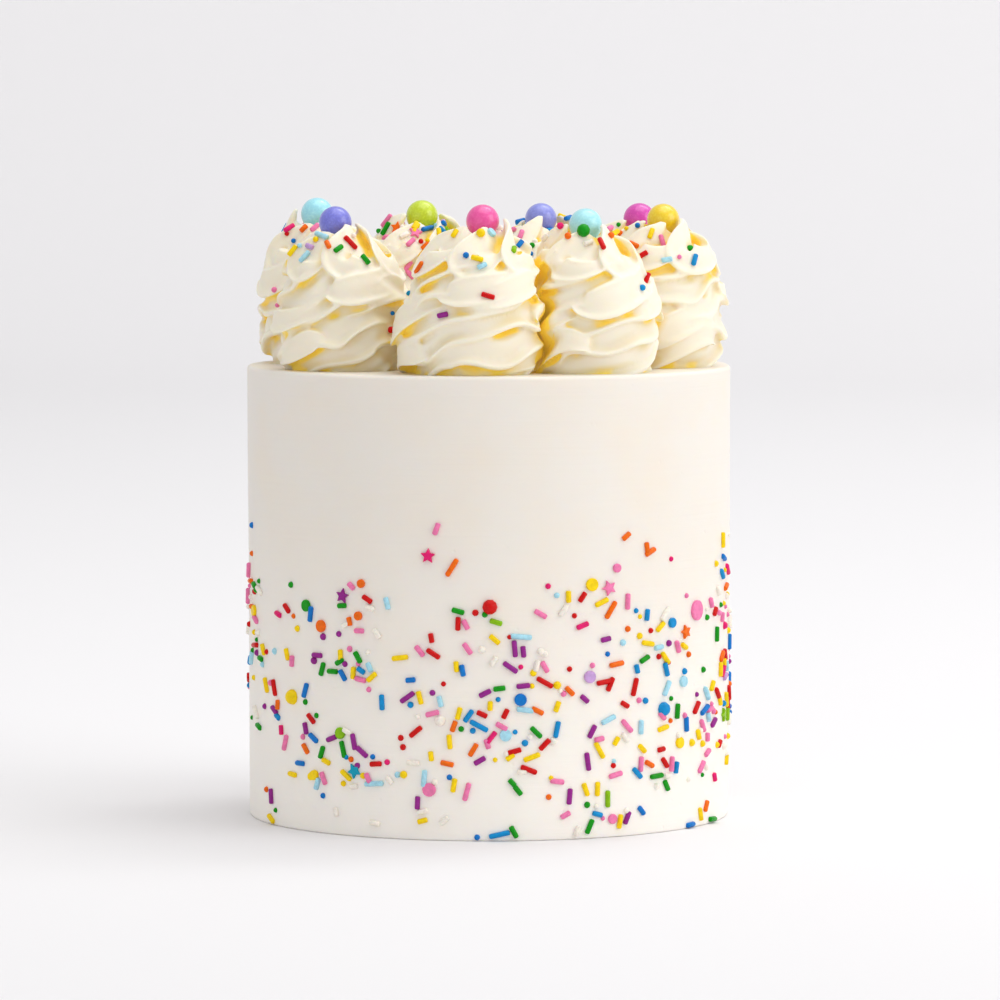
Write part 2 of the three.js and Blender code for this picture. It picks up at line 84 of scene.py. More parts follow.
def coat_profile():
    """Radius and height of the coat's rings, from inside the base, up the side and in over the top."""
    turns = [math.pi / 2 * i / ROUND_STEPS for i in range(ROUND_STEPS + 1)]
    rings = [(BASE_RADIUS / 2, 0.0)]
    for turn in turns:
        rings.append((BASE_RADIUS - FOOT_ROUND * (1 - math.sin(turn)), FOOT_ROUND * (1 - math.cos(turn))))
    for i in range(1, SIDE_RINGS):
        height = FOOT_ROUND + (CAKE_HEIGHT - EDGE_ROUND - FOOT_ROUND) * i / SIDE_RINGS
        rings.append((side_radius(height), height))
    for turn in turns:
        across = TOP_RADIUS - EDGE_ROUND * (1 - math.cos(turn))
        rings.append((across, CAKE_HEIGHT - EDGE_ROUND * (1 - math.sin(turn))))
    rings += [((TOP_RADIUS - EDGE_ROUND) * (1 - i / TOP_RINGS), CAKE_HEIGHT) for i in range(1, TOP_RINGS)]
    return np.array(rings)


def round_angles(count):
    """Even angles round a circle."""
    return np.arange(count) * 2 * math.pi / count


def grid_faces(rows, columns):
    """Quads between rows of points, each row a closed loop."""
    i, j = np.meshgrid(np.arange(rows - 1), np.arange(columns), indexing="ij")
    k = (j + 1) % columns
    quads = np.stack([i * columns + j, i * columns + k, (i + 1) * columns + k, (i + 1) * columns + j], -1)
    return quads.reshape(-1, 4).tolist()


def closed_skin(rows, ends=None):
    """Points and faces of a skin of closed loops, each end closed at a given point or the loop's middle."""
    count, columns = rows.shape[:2]
    ends = [rows[0].mean(0), rows[-1].mean(0)] if ends is None else ends
    faces = grid_faces(count, columns)
    last = (count - 1) * columns
    for j in range(columns):
        k = (j + 1) % columns
        faces += [(k, j, count * columns), (last + j, last + k, count * columns + 1)]
    return np.concatenate([rows.reshape(-1, 3), ends]), faces


def new_object(name, data):
    """An object in the scene."""
    piece = bpy.data.objects.new(name, data)
    bpy.context.scene.collection.objects.link(piece)
    return piece


def plain_mesh(name, points, faces, smooth=True):
    """A mesh object from points in millimetres."""
    mesh = bpy.data.meshes.new(name)
    mesh.from_pydata(np.asarray(points) * MM, [], faces)
    mesh.validate()
    mesh.polygons.foreach_set("use_smooth", np.full(len(mesh.polygons), smooth))
    return new_object(name, mesh)


def coat_mesh():
    """The turned profile, with slow waves in its side and along its top edge."""
    angles = round_angles(COAT_SEGMENTS)
    across, height = (np.repeat(part[:, None], COAT_SEGMENTS, 1) for part in coat_profile().T)
    near_side = np.clip((across - BASE_RADIUS + RIM_BAND) / RIM_BAND, 0, 1)
    swell = sum(np.sin(count * angles + height / climb + phase) for count, climb, phase in SIDE_WAVES)
    across = across + COAT_UNEVEN / len(SIDE_WAVES) * swell * near_side
    lift = sum(weight * np.sin(count * angles + phase) for count, phase, weight in EDGE_WAVES)
    lift = lift * EDGE_UNEVEN / sum(weight for _, _, weight in EDGE_WAVES)
    height = height + lift * np.clip((height - CAKE_HEIGHT + EDGE_BAND) / EDGE_BAND, 0, 1) * near_side
    rows = np.stack([across * np.sin(angles), -across * np.cos(angles), height], -1)
    return plain_mesh("coat", *closed_skin(rows))


def feed(tree, node, sockets):
    """Sets a node's inputs: a value is set, and another node's output is linked."""
    for key, value in sockets.items():
        if isinstance(value, bpy.types.NodeSocket):
            tree.links.new(value, node.inputs[key])
        else:
            node.inputs[key].default_value = value


def add_node(tree, kind, sockets=None, **settings):
    """A new node with its settings and inputs."""
    node = tree.nodes.new(kind)
    for key, value in settings.items():
        setattr(node, key, value)
    feed(tree, node, sockets or {})
    return node


def new_material(name, sockets):
    """A material with some of its shader's inputs set, its node tree and the shader."""
    material = bpy.data.materials.new(name)
    material.use_nodes = True
    shader = material.node_tree.nodes["Principled BSDF"]
    feed(material.node_tree, shader, sockets)
    return material, material.node_tree, shader


def object_place(tree):
    """The place on the piece, in its own coordinates."""
    return add_node(tree, "ShaderNodeTexCoord").outputs["Object"]


def noise(tree, place, scale, detail=2.0, roughness=0.5):
    """Smooth noise from 0 to 1 at a place."""
    sockets = {"Vector": place, "Scale": scale, "Detail": detail, "Roughness": roughness}
    return add_node(tree, "ShaderNodeTexNoise", sockets).outputs["Fac"]


def remapped(tree, value, low, high, to_low=0.0, to_high=1.0, **settings):
    """A value moved from one range to another."""
    sockets = {"Value": value, "From Min": low, "From Max": high, "To Min": to_low, "To Max": to_high}
    return add_node(tree, "ShaderNodeMapRange", sockets, **settings).outputs["Result"]


def mixed(tree, share, first, second):
    """A colour between two others, each a plain colour or an output."""
    first, second = ((*tint, 1) if isinstance(tint, tuple) else tint for tint in (first, second))
    sockets = {"Factor": share, "A": first, "B": second}
    return add_node(tree, "ShaderNodeMix", sockets, data_type="RGBA").outputs["Result"]


def bumped(tree, height, strength, distance, under=None):
    """A bump, over another bump where one is given."""
    sockets = {"Height": height, "Strength": strength, "Distance": distance}
    if under is not None:
        sockets["Normal"] = under
    return add_node(tree, "ShaderNodeBump", sockets).outputs["Normal"]


def add_sockets(tree, way, sockets):
    """Gives a node group its inputs or its outputs, each with its name and kind."""
    for name, kind in sockets.items():
        tree.interface.new_socket(name, in_out=way, socket_type="NodeSocket" + kind)


def sugar_grain_group():
    """Fine sugar grain and soft unevenness of buttercream: a height for a bump and a mask of paler places."""
    group = bpy.data.node_groups.new("Sugar grain", "ShaderNodeTree")
    add_sockets(group, "INPUT", {"Grain Size": "Float", "Cloud Size": "Float"})
    add_sockets(group, "OUTPUT", {"Height": "Float", "Cloud": "Float"})
    given = add_node(group, "NodeGroupInput")
    made = add_node(group, "NodeGroupOutput")
    place = object_place(group)
    for key, result, detail, roughness in (("Grain Size", "Height", 3, 0.6), ("Cloud Size", "Cloud", 2, 0.5)):
        scale = add_node(group, "ShaderNodeMath", {0: 1.0, 1: given.outputs[key]}, operation="DIVIDE")
        feed(group, made, {result: noise(group, place, scale.outputs[0], detail, roughness)})
    return group


SUGAR_GRAIN = sugar_grain_group()


def sugar_grain(tree, grain_size, cloud_size):
    """The sugar grain's height and cloud, at sizes of their own."""
    sockets = {"Grain Size": grain_size, "Cloud Size": cloud_size}
    group = add_node(tree, "ShaderNodeGroup", sockets, node_tree=SUGAR_GRAIN)
    return group.outputs["Height"], group.outputs["Cloud"]


def scraped_buttercream():
    """Satin buttercream with level scraper lines, small pits, a faint warm unevenness and painted light that
    makes it paler towards the foot.
    """
    material, tree, shader = new_material("scraped buttercream", {
        "Roughness": 0.46, "Specular IOR Level": 0.4, "Subsurface Weight": 0.25,
        "Subsurface Radius": (1.0, 0.72, 0.42), "Subsurface Scale": 3 * MM,
    })
    place = object_place(tree)
    level = add_node(tree, "ShaderNodeMapping", {"Vector": place, "Scale": SCRAPER_LINES})
    lines = noise(tree, level.outputs["Vector"], 1.0, 3.0, 0.55)
    pits = add_node(tree, "ShaderNodeTexVoronoi", {"Vector": place, "Scale": PITS_A_METRE})
    rim_share = remapped(tree, pits.outputs["Distance"], 0.04, 0.16)
    depth = add_node(tree, "ShaderNodeMath", {0: rim_share, 1: 1.0}, operation="SUBTRACT")
    in_places = remapped(tree, noise(tree, place, 60.0), 0.54, 0.6)
    sockets = {0: depth.outputs[0], 1: in_places, 2: lines}
    relief = add_node(tree, "ShaderNodeMath", sockets, operation="MULTIPLY_ADD")
    grain, cloud = sugar_grain(tree, 0.8 * MM, 26 * MM)
    scraped = bumped(tree, relief.outputs[0], 0.35, 0.25 * MM)
    height = add_node(tree, "ShaderNodeSeparateXYZ", {0: place}).outputs["Z"]
    # Painted light: the coat grows paler towards the foot, standing in for light bounced up from the floor.
    painted_foot_light = remapped(tree, height, PAINTED_LIGHT_BELOW, 0.0, interpolation_type="SMOOTHSTEP")
    uneven = mixed(tree, remapped(tree, cloud, 0.4, 0.75), COAT_COLOUR, COAT_SHADE)
    feed(tree, shader, {
        "Base Color": mixed(tree, painted_foot_light, uneven, COAT_FOOT_PAINTED_LIGHT),
        "Normal": bumped(tree, grain, 0.25, 0.05 * MM, scraped),
    })
    return material


coat = coat_mesh()
coat.data.materials.append(scraped_buttercream())
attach(coat, "root")
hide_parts("cake_body")


# ==== The piped swirls ======================================================================================
# Stiff buttercream from a large open star nozzle. Its ridges wind up the swirl as ribbons that hang over each
# other with rolled lips and fold over here and there, and the last of them curl into a crown round the pearl.
RING_RADIUS = 54.6
SWIRL_HEIGHT = 47.0
LEAVES = 6
GAP = 0.3
PRESS_DEPTH = 3.4
VOXEL = 0.49
PLUMP = 0.22  # the skins are merged this much fuller and drawn back, which heals hair-thin gaps
INTERLOCK = 2.0  # how far neighbours' folds reach past the plane between them
INTERLOCK_WAVES = (0.5, 2.3, 0.22)  # how that changes with height, from pair to pair and sideways
SKIRT = 0.5  # how deep a swirl's foot sinks into the cake's top
# Painted shade: the crevice mask turns the ridges' own colour cream in the creases and deep yellow in the
# crevices, where light bounces between the folds.
CREASE_SHADE_COLOUR = (0.88, 0.76, 0.48)
CREVICE_SHADE_COLOUR = (0.98, 0.72, 0.10)
RIDGE_COLOUR = (0.92, 0.85, 0.70)
RIDGE_MARK = 0.1
CREASE_MARK = 0.66
CREVICE_MARK = 0.95
PAINTED_CREVICE_GLOW = 0.09  # painted glow: the folds give off light, standing in for light bounced and scattered down into them

# The swirl's outline: height and reach.
ENVELOPE = np.array([
    [-8.0, 18.0], [0.0, 19.4], [4.0, 21.2], [9.0, 22.3], [14.0, 22.4], [20.0, 21.6],
    [26.0, 20.2], [31.0, 18.4], [36.0, 15.8], [41.0, 12.0], [46.0, 8.0],
])
CORE_DEPTH = 3.8  # how far under the outline the filled middle begins
CORE_FROM = -3
CORE_TO = 41
CORE_POINTS = 48
CORE_ROWS = 24
RIBBON_START = -13.0
RIBBON_END = 36.5
COLUMNS_PER_TURN = 150
RIBBON_POINTS = 40
SWAY = 2.9  # how far a ribbon's lip wanders up and down in long waves, and in short ones
RIPPLE = 1.7
PLEAT = 1.8  # how far a lip is drawn up between round pleats
PLEATS = 10  # radians of pleats a turn
PLEAT_MIDDLE = 0.64
PLEAT_ROUND = 0.03
DRIFT = 0.16  # how far the waves lean over sideways, in radians round the swirl
DRIFT_BREADTH = 14.0
STAND = 1.3  # how unevenly a lip stands off the ribbon below
STAND_MIDDLE = 0.3
LIP_BREADTH = 7.0
LIP_FROM = 0.25  # the reach from which a lip is fuller in some places than in others
FULLNESS = 0.45
DENT = 0.5
DENT_WAVE = 0.55
DENT_FROM = -1.2
END_TURN = 0.2  # the last part of a turn, over which a ribbon thins out and goes in
END_DEPTH = 3.0
END_THINNEST = 0.05
FREE_STAND = 2.0  # how far a lip may stand outside the outline before the soft icing sags back
SAG_ROOM = 2.3
RIBBON_PHASE = 2.1  # how much later each ribbon's waves come than its neighbour's
# How fast a ribbon's waves go, in radians a turn: of its sway, ripple, stand, fullness, dents and drift. Each
# is bent by a slower wave.
RIBBON_WAVES = ((11, 17), (27, 41), (9, 16, 29), (13, 23), (8, 21), (15, 28))
WANDER_BEND = 0.8
WANDER_SLOWER = 0.37

# A ribbon across its width: height over the lip's lower edge, and reach outside the outline. A rounded lip
# hangs over the ribbon below, the broad face rises from it, and the root goes in under the next lip.
RIBBON = np.array([
    [1.2, -3.4], [0.6, -2.0], [-0.1, -0.5], [-0.35, 1.0], [0.2, 2.0], [1.1, 1.9], [1.9, 0.7], [3.1, -0.2],
    [5.2, 0.1], [7.8, -0.3], [10.0, -1.5], [12.0, -4.0], [10.5, -7.0], [6.0, -7.5], [2.5, -6.0],
])

# The crown's middle: height and reach of its ridges and of the grooves between them. Its hollow, from the rim
# inwards: share of the rim's reach and of its height over the hollow's floor.
CROWN_RIDGE = np.array([[31.0, 14.6], [35.0, 14.2], [39.0, 12.6], [42.6, 9.8], [44.6, 7.4]])
CROWN_GROOVE = np.array([[31.0, 13.8], [34.6, 13.2], [38.0, 11.6], [41.4, 9.0], [43.2, 6.6]])
CROWN_POINTS = 24 * LEAVES
CROWN_ROWS = 20
CROWN_TURN = 0.4
HOLLOW = ((0.88, 0.7), (0.76, 0.2), (0.4, 0.0))
HOLLOW_DEPTH = 0.6

# A curl of the crown, from its tip down its back and round its hook: height, reach, turn round the swirl in
# degrees, half width and half thickness.
LEAF = np.array([
    [48.2, 7.0, 16.0, 0.9, 0.60], [46.2, 8.6, 10.0, 2.2, 1.00], [43.4, 11.0, 1.0, 3.8, 1.30],
    [40.4, 13.6, -7.0, 5.0, 1.50], [37.8, 15.8, -11.0, 5.6, 1.70], [35.6, 17.3, -7.0, 5.2, 1.80],
    [34.6, 17.9, 3.0, 4.3, 1.80], [35.0, 17.6, 15.0, 3.3, 1.70], [36.2, 16.6, 26.0, 2.3, 1.50],
    [37.8, 15.0, 35.0, 1.3, 1.10],
])
# How unlike the curls are: in the heights of tip and foot, and in shares of reach, turn and width.
CURL_TIP, CURL_FOOT, CURL_REACH, CURL_TURN, CURL_WIDTH = 2.4, 2.2, 0.06, 0.3, 0.15
CURL_TIP_DROP = 1.8

# A fold of a ribbon on the swirl's side, from its buried end to its round lobe: how far along and how high,
# reach outside the outline, half width and half thickness.
FOLD = np.array([
    [25.0, 10.0, -3.6, 2.0, 1.00], [17.0, 7.4, -0.9, 3.4, 1.40], [9.0, 4.2, 0.9, 4.3, 1.60],
    [2.0, 1.3, 1.5, 4.8, 1.70], [-3.5, 0.0, 1.7, 4.6, 1.70], [-7.5, 0.4, 1.1, 3.5, 1.60],
    [-9.5, 1.6, 0.0, 1.8, 1.30],
])
FOLDS = 7
FOLD_HEIGHTS = (5.5, 21.0, 12.5, 27.5, 8.0, 17.0, 24.0)
FOLD_SPACING = 137.5  # degrees round the swirl from one fold to the next
FOLD_MIDDLE = 4.0  # the height in the table that comes to the fold's own height
# How unlike the folds are: in shares of the size and the slant, in height, in reach and in degrees.
FOLD_SIZE, FOLD_SLANT, FOLD_RISE, FOLD_REACH, FOLD_TURN = 0.18, 0.35, 1.5, 0.5, 12
FOLD_WAVE = 0.9  # how far a fold wanders up and down, how fast, and how its phase changes
FOLD_WAVES = (7, 3)
LEAF_ROWS = 44
LEAF_POINTS = 36
# A curl's section: how far its outer rim and its inner one roll out, and the bead along both.
RIM_ROLL = (2.4, 0.8)
INNER_ROLL = -1.6
BEAD_PLACE = 0.84
BEAD_BREADTH = 0.12
ROLLED_BY = 1 / 3  # the share of the way at which the rims have rolled out in full
FULL_SECTION = 0.6  # below one, a section is fuller than round
UNLIKE_STEP = 2.6

# Each swirl: where it stands round the ring, where its ribbons start, their number and how far they climb in
# one turn, its width, how far it pushes its neighbours back, its lean, its waves and its extra height.
SWIRL_TERMS = ("around", "start", "ribbons", "climb", "width", "push", "lean", "wave", "rise")
SWIRL_VALUES = [
    (-6, 205, 5, 38, 1.0, 2.5, 3.9, 0.4, 1.5),
    (36, 250, 5, 40, 0.97, 0, -0.6, 1.9, 0),
    (83, 310, 5, 36, 0.97, 0, 3.4, 3.1, 0.6),
    (121, 20, 5, 40, 0.95, 0, 3.7, 4.4, 0),
    (164, 75, 5, 42, 0.97, 1, 2.6, 5.2, -0.6),
    (208, 130, 5, 38, 0.97, 0, 3.0, 1.0, 0.5),
    (255, 160, 5, 41, 0.98, 0, -4.4, 2.6, 2.1),
    (301.5, 225, 6, 50, 0.95, 0, -3.4, 3.8, 0.3),
]
SWIRLS = [
    {"name": f"swirl_{number}", **dict(zip(SWIRL_TERMS, values))}
    for number, values in enumerate(SWIRL_VALUES, 1)
]


def eased(at, marks, values):
    """Smoothly eased values between marks, with the slopes of a Catmull-Rom curve."""
    i = np.clip(np.searchsorted(marks, at, side="right") - 1, 0, len(marks) - 2)
    before, after = np.maximum(i - 1, 0), np.minimum(i + 2, len(marks) - 1)
    step = marks[i + 1] - marks[i]
    t = (at - marks[i]) / step
    slope_from = (values[i + 1] - values[before]) / (marks[i + 1] - marks[before]) * step
    slope_to = (values[after] - values[i]) / (marks[after] - marks[i]) * step
    rise = values[i + 1] - values[i]
    bend = 3 * rise - 2 * slope_from - slope_to + t * (slope_from + slope_to - 2 * rise)
    return values[i] + t * (slope_from + t * bend)


def eased_columns(table, share):
    """A table's columns at shares of the way from its first row, 0, to its last, 1."""
    marks = np.linspace(0, 1, len(table))
    return [eased(share, marks, column) for column in table.T]


def wander(turn, wave, speeds):
    """A smooth uneven number from about -1 to 1 along a ribbon."""
    total = 0
    for n, speed in enumerate(speeds):
        bend = WANDER_BEND * np.sin(WANDER_SLOWER * speed * turn + 2 * wave)
        total = total + np.sin(speed * turn + wave * (n + 1.3) + bend)
    return total / len(speeds)


def outline_reach(height):
    """The swirl's outline at a height."""
    return np.interp(height, ENVELOPE[:, 0], ENVELOPE[:, 1])


def round_rows(reach, angles, height):
    """Rows of points round an upright axis."""
    return np.stack(np.broadcast_arrays(reach * np.cos(angles), reach * np.sin(angles), height), -1)


def plumped(rows):
    """Closed loops of points moved outwards from their skin."""
    along = np.gradient(rows, axis=0)
    around = np.roll(rows, -1, 1) - np.roll(rows, 1, 1)
    outwards = np.cross(around, along)
    length = np.linalg.norm(outwards, axis=2, keepdims=True)
    outwards = outwards / np.maximum(length, 1e-9)
    centre = rows.mean(1, keepdims=True)
    if np.einsum("ijk,ijk->", rows - centre, outwards * length) < 0:
        outwards = -outwards
    return rows + PLUMP * outwards


def closed_curve(marks, count):
    """Even steps round a closed curve through the marks."""
    padded = np.concatenate([marks[-1:], marks, marks[:2]])
    at = np.arange(count) * len(marks) / count
    return [eased(at, np.arange(-1, len(marks) + 2, dtype=float), column) for column in padded.T]


def ribbon_rows(swirl, number):
    """One of the ribbons that wind up the swirl side by side, each hanging over the one below."""
    turns = (RIBBON_END - RIBBON_START) / swirl["climb"]
    turn = np.linspace(0, turns, round(turns * COLUMNS_PER_TURN))[:, None]
    rise, reach = (part[None, :] for part in closed_curve(RIBBON, RIBBON_POINTS))
    wave = swirl["wave"] + RIBBON_PHASE * number
    sway, ripple, stand, fullness, dent, drift = (
        wander(turn, wave + order, speeds) for order, speeds in enumerate(RIBBON_WAVES)
    )
    pleat = PLEAT_MIDDLE - np.sqrt(np.sin(PLEATS * turn + 2 * wave + np.sin(7 * turn)) ** 2 + PLEAT_ROUND)
    lip = RIBBON_START + swirl["climb"] * turn + SWAY * sway + RIPPLE * ripple + PLEAT * pleat
    lip_share = np.clip(1 - np.clip(rise, 0, None) / LIP_BREADTH, 0, 1)
    reach = np.where(reach > LIP_FROM, LIP_FROM + (reach - LIP_FROM) * (1 + FULLNESS * fullness), reach)
    dents = DENT * np.sin(DENT_WAVE * rise + 3 * dent) * np.clip(reach - DENT_FROM, 0, 1)
    fade = np.clip((turns - turn) / END_TURN, END_THINNEST, 1) ** 0.5
    height = lip + rise * fade
    across = outline_reach(height) + (reach + END_DEPTH) * fade - END_DEPTH
    across = across + (STAND * stand + STAND_MIDDLE) * lip_share * fade + dents
    angle = math.radians(swirl["start"]) + 2 * math.pi * (turn + number / swirl["ribbons"])
    angle = angle + DRIFT * drift * np.clip(1 - rise / DRIFT_BREADTH, 0, 1)
    return round_rows(across, angle, height)


def core_rows():
    """The filled middle of a swirl, inside the ribbons."""
    heights = np.linspace(CORE_FROM, CORE_TO, CORE_ROWS)[:, None]
    return round_rows(outline_reach(heights) - CORE_DEPTH, round_angles(CORE_POINTS), heights)


def crown_middle(swirl):
    """The crown's wall from its root to its rim, then down into the hollow under the pearl."""
    angle = round_angles(CROWN_POINTS)
    rise = 0.5 + 0.5 * np.cos(LEAVES * angle)
    share = np.linspace(0, 1, CROWN_ROWS)[:, None]
    ridge_height, ridge_reach = eased_columns(CROWN_RIDGE, share)
    groove_height, groove_reach = eased_columns(CROWN_GROOVE, share)
    height = groove_height + (ridge_height - groove_height) * rise
    out = groove_reach + (ridge_reach - groove_reach) * rise
    wall = round_rows(out, angle + math.radians(swirl["start"]) + CROWN_TURN * share, height)
    floor = CROWN_GROOVE[-1, 0] - HOLLOW_DEPTH
    hollow = []
    for inwards, share_kept in HOLLOW:
        ring = wall[-1] * np.array([inwards, inwards, 1])
        ring[:, 2] = floor + (wall[-1, :, 2] - floor) * share_kept
        hollow.append(ring)
    return np.concatenate([wall, hollow])


def unlike(swirl, number):
    """Five numbers from -1 to 1 that make every curl its own."""
    return [math.sin(UNLIKE_STEP * (number + 1) * (k + 1) + swirl["wave"] * (k + 2)) for k in range(5)]


def crown_curl(swirl, number):
    """One curl of the crown: it comes down from its tip and hooks sideways."""
    tall, wide, far, slant, low = unlike(swirl, number)
    down = np.linspace(0, 1, LEAF_ROWS)
    height, reach, turn, half_width, half_thick = eased_columns(LEAF, down)
    height = height + (1 - down) * (CURL_TIP * tall - CURL_TIP_DROP) + down * CURL_FOOT * low
    reach = reach * (1 + CURL_REACH * far * down)
    arc = np.radians(turn) * (1 + CURL_TURN * slant) * reach
    around = swirl["start"] + 360 / LEAVES * number
    return curl_rows(around, arc, height, reach, half_width * (1 + CURL_WIDTH * wide), half_thick)


def side_fold(swirl, number):
    """A ribbon folded over on the swirl's side, its lobe at the lower left or at the upper right."""
    tall, wide, far, slant, low = unlike(swirl, number + LEAVES)
    down = np.linspace(0, 1, LEAF_ROWS)
    along, rise, stand, half_width, half_thick = eased_columns(FOLD, down)
    way = 1 if number % 2 else -1
    size = 1 + FOLD_SIZE * wide
    height = FOLD_HEIGHTS[number] + way * (rise - FOLD_MIDDLE) * size * (1 + FOLD_SLANT * slant)
    height = height + FOLD_RISE * low + FOLD_WAVE * np.sin(FOLD_WAVES[0] * down + FOLD_WAVES[1] * far)
    reach = outline_reach(height) + stand + FOLD_REACH * far
    around = swirl["start"] + FOLD_SPACING * number + FOLD_TURN * tall
    return curl_rows(around, way * along * size, height, reach, half_width * size, half_thick)


def curl_rows(around, arc, height, reach, half_width, half_thick):
    """A tongue of icing along a path on the swirl, with its outer rim rolled out."""
    lifted = np.clip(np.linspace(0, 1 / ROLLED_BY, len(arc)), 0, 1)[:, None]
    step = np.hypot(np.gradient(arc), np.gradient(height))
    level, falling = (part[:, None] for part in (np.gradient(arc) / step, -np.gradient(height) / step))
    across, side = np.cos(round_angles(LEAF_POINTS)), np.sin(round_angles(LEAF_POINTS))
    side = np.sign(side) * np.abs(side) ** FULL_SECTION
    bead = np.exp(-((np.abs(across) - BEAD_PLACE) / BEAD_BREADTH) ** 2)
    outer = -1 if arc[-1] > arc[0] else 1
    rolled = RIM_ROLL[0] * across ** 4 + RIM_ROLL[1] * across ** 2
    curl = np.where(across * outer > 0, rolled, INNER_ROLL * across ** 2) * lifted
    out = reach[:, None] + curl + half_thick[:, None] * side * (1 + bead)
    offset = half_width[:, None] * across
    angle = (arc[:, None] + falling * offset) / reach[:, None] + math.radians(around)
    return round_rows(out, angle, height[:, None] + level * offset)


def mesh_values(items, key, width=3, kind=float):
    """One value of each of a mesh's items, as rows."""
    values = np.zeros(len(items) * width, kind)
    items.foreach_get(key, values)
    return values.reshape(-1, width)


def mesh_points(mesh):
    """A mesh's points in millimetres."""
    return mesh_values(mesh.vertices, "co") / MM


def mesh_normals(mesh):
    """The way out at each of a mesh's points."""
    return mesh_values(mesh.vertex_normals, "vector")


def mesh_edges(mesh):
    """The pairs of points that a mesh's edges join."""
    return mesh_values(mesh.edges, "vertices", 2, int)


def move_points(mesh, points):
    """Moves a mesh's points to places in millimetres."""
    mesh.vertices.foreach_set("co", (points * MM).ravel())
    mesh.update()


def drop_bubbles(mesh):
    """Deletes the tiny skins that a remesh leaves apart from the main one."""
    edges = mesh_edges(mesh)
    part = np.arange(len(mesh.vertices))
    while True:
        lowest = part[edges].min(1)
        joined = part.copy()
        for end in range(2):
            np.minimum.at(joined, edges[:, end], lowest)
        joined = joined[joined]
        if np.array_equal(joined, part):
            break
        part = joined
    shell = bmesh.new()
    shell.from_mesh(mesh)
    shell.verts.ensure_lookup_table()
    stray = np.flatnonzero(part != np.bincount(part).argmax())
    bmesh.ops.delete(shell, geom=[shell.verts[v] for v in stray], context="VERTS")
    shell.to_mesh(mesh)
    shell.free()


def bake(piece):
    """Replaces a piece's mesh with what its modifiers make of it."""
    before = piece.data
    piece.data = bpy.data.meshes.new_from_object(piece.evaluated_get(bpy.context.evaluated_depsgraph_get()))
    piece.modifiers.clear()
    bpy.data.meshes.remove(before)
    piece.data.name = piece.name


def merged_skin(name, parts):
    """One closed skin round overlapping bodies, rebuilt on a fine even grid."""
    points = np.concatenate([part[0] for part in parts])
    faces = []
    offset = 0
    for part_points, part_faces in parts:
        faces += [tuple(offset + v for v in face) for face in part_faces]
        offset += len(part_points)
    piece = plain_mesh(name, points, faces)
    remesh = piece.modifiers.new("skin", "REMESH")
    remesh.mode = "VOXEL"
    remesh.voxel_size = VOXEL * MM
    remesh.use_smooth_shade = True
    bake(piece)
    drop_bubbles(piece.data)
    return piece


def softened(values, edges, rounds=2):
    """Values moved half way to the mean of their neighbours' values, a few times over."""
    a, b = edges.T
    count = np.bincount(edges.ravel(), minlength=len(values))
    for _ in range(rounds):
        total = np.zeros(values.shape)
        for axis in range(values.shape[1]):
            total[:, axis] = np.bincount(a, values[b, axis], len(values))
            total[:, axis] += np.bincount(b, values[a, axis], len(values))
        values = values + 0.5 * (total / np.maximum(count, 1)[:, None] - values)
    return values


# How crowded a place is, which sets the painted shade in the folds: the icing surface found in a small cube
# just off it. Each row is how far off the surface the cube's middle is, its half width in cells, the square
# millimetres that pass for open and for deep, and its weight.
CROWD_CELL = 1.0
CROWD_RANGES = ((2.0, 1, 3, 16, 0.45), (4.5, 3, 20, 120, 0.6))
CROWD_CORNER = np.array([-100.0, -100.0, CAKE_HEIGHT - 10])
CROWD_CELLS = np.array([200, 200, 80])
CROWD_SMOOTHING = 6
TOP_CROWDS = 0.15  # how much the cake's open top counts
TOP_GRID = 88  # half the side of the square of points that stands for the top
TOP_LIFT = 0.1


def crowd_areas(pieces):
    """The surface of the swirls and of the cake's top in small cells, in square millimetres."""
    flat = np.arange(-TOP_GRID, TOP_GRID, VOXEL)
    across, along = (part.ravel() for part in np.meshgrid(flat, flat))
    top = np.stack([across, along, np.full(len(across), CAKE_HEIGHT + TOP_LIFT)], -1)
    top = top[across ** 2 + along ** 2 < TOP_RADIUS ** 2]
    points = np.concatenate([mesh_points(piece.data) for piece in pieces] + [top])
    shares = np.ones(len(points))
    shares[-len(top):] = TOP_CROWDS
    cell = np.clip(((points - CROWD_CORNER) / CROWD_CELL).astype(int), 0, CROWD_CELLS - 1)
    place = np.ravel_multi_index(cell.T, CROWD_CELLS)
    return np.bincount(place, shares * VOXEL ** 2, minlength=CROWD_CELLS.prod()).reshape(CROWD_CELLS)


def sampled(grid, place):
    """A grid's values at places between the middles of its cells."""
    low = np.floor(place).astype(int)
    share = place - low
    total = 0
    for step in np.ndindex(2, 2, 2):
        cell = np.clip(low + step, 0, np.array(grid.shape) - 1)
        weight = np.prod(np.where(step, share, 1 - share), axis=1)
        total = total + weight * grid[cell[:, 0], cell[:, 1], cell[:, 2]]
    return total


def paint_fold_shade(pieces):
    """Marks every swirl's points with how deep they lie between folds, from 0 to 1, for the painted shade."""
    areas = crowd_areas(pieces)
    grids = []
    for _, reach, _, _, _ in CROWD_RANGES:
        grid = areas
        for axis in range(3):
            grid = sum(np.roll(grid, step, axis) for step in range(-reach, reach + 1))
        grids.append(grid)
    for piece in pieces:
        points, normals = mesh_points(piece.data), mesh_normals(piece.data)
        mask = 0
        for (off, _, open_area, deep_area, weight), grid in zip(CROWD_RANGES, grids):
            found = sampled(grid, (points + off * normals - CROWD_CORNER) / CROWD_CELL - 0.5)
            mask = mask + weight * np.clip((found - open_area) / (deep_area - open_area), 0, 1)
        mask = softened(mask[:, None], mesh_edges(piece.data), CROWD_SMOOTHING)
        crevice = piece.data.attributes.new("crevice", "FLOAT", "POINT")
        crevice.data.foreach_set("value", np.clip(mask[:, 0], 0, 1).astype(np.float32))


def swirl_centre(swirl):
    """The middle of a swirl on the cake's top."""
    angle = math.radians(swirl["around"])
    return np.array([RING_RADIUS * math.sin(angle), -RING_RADIUS * math.cos(angle), 0])


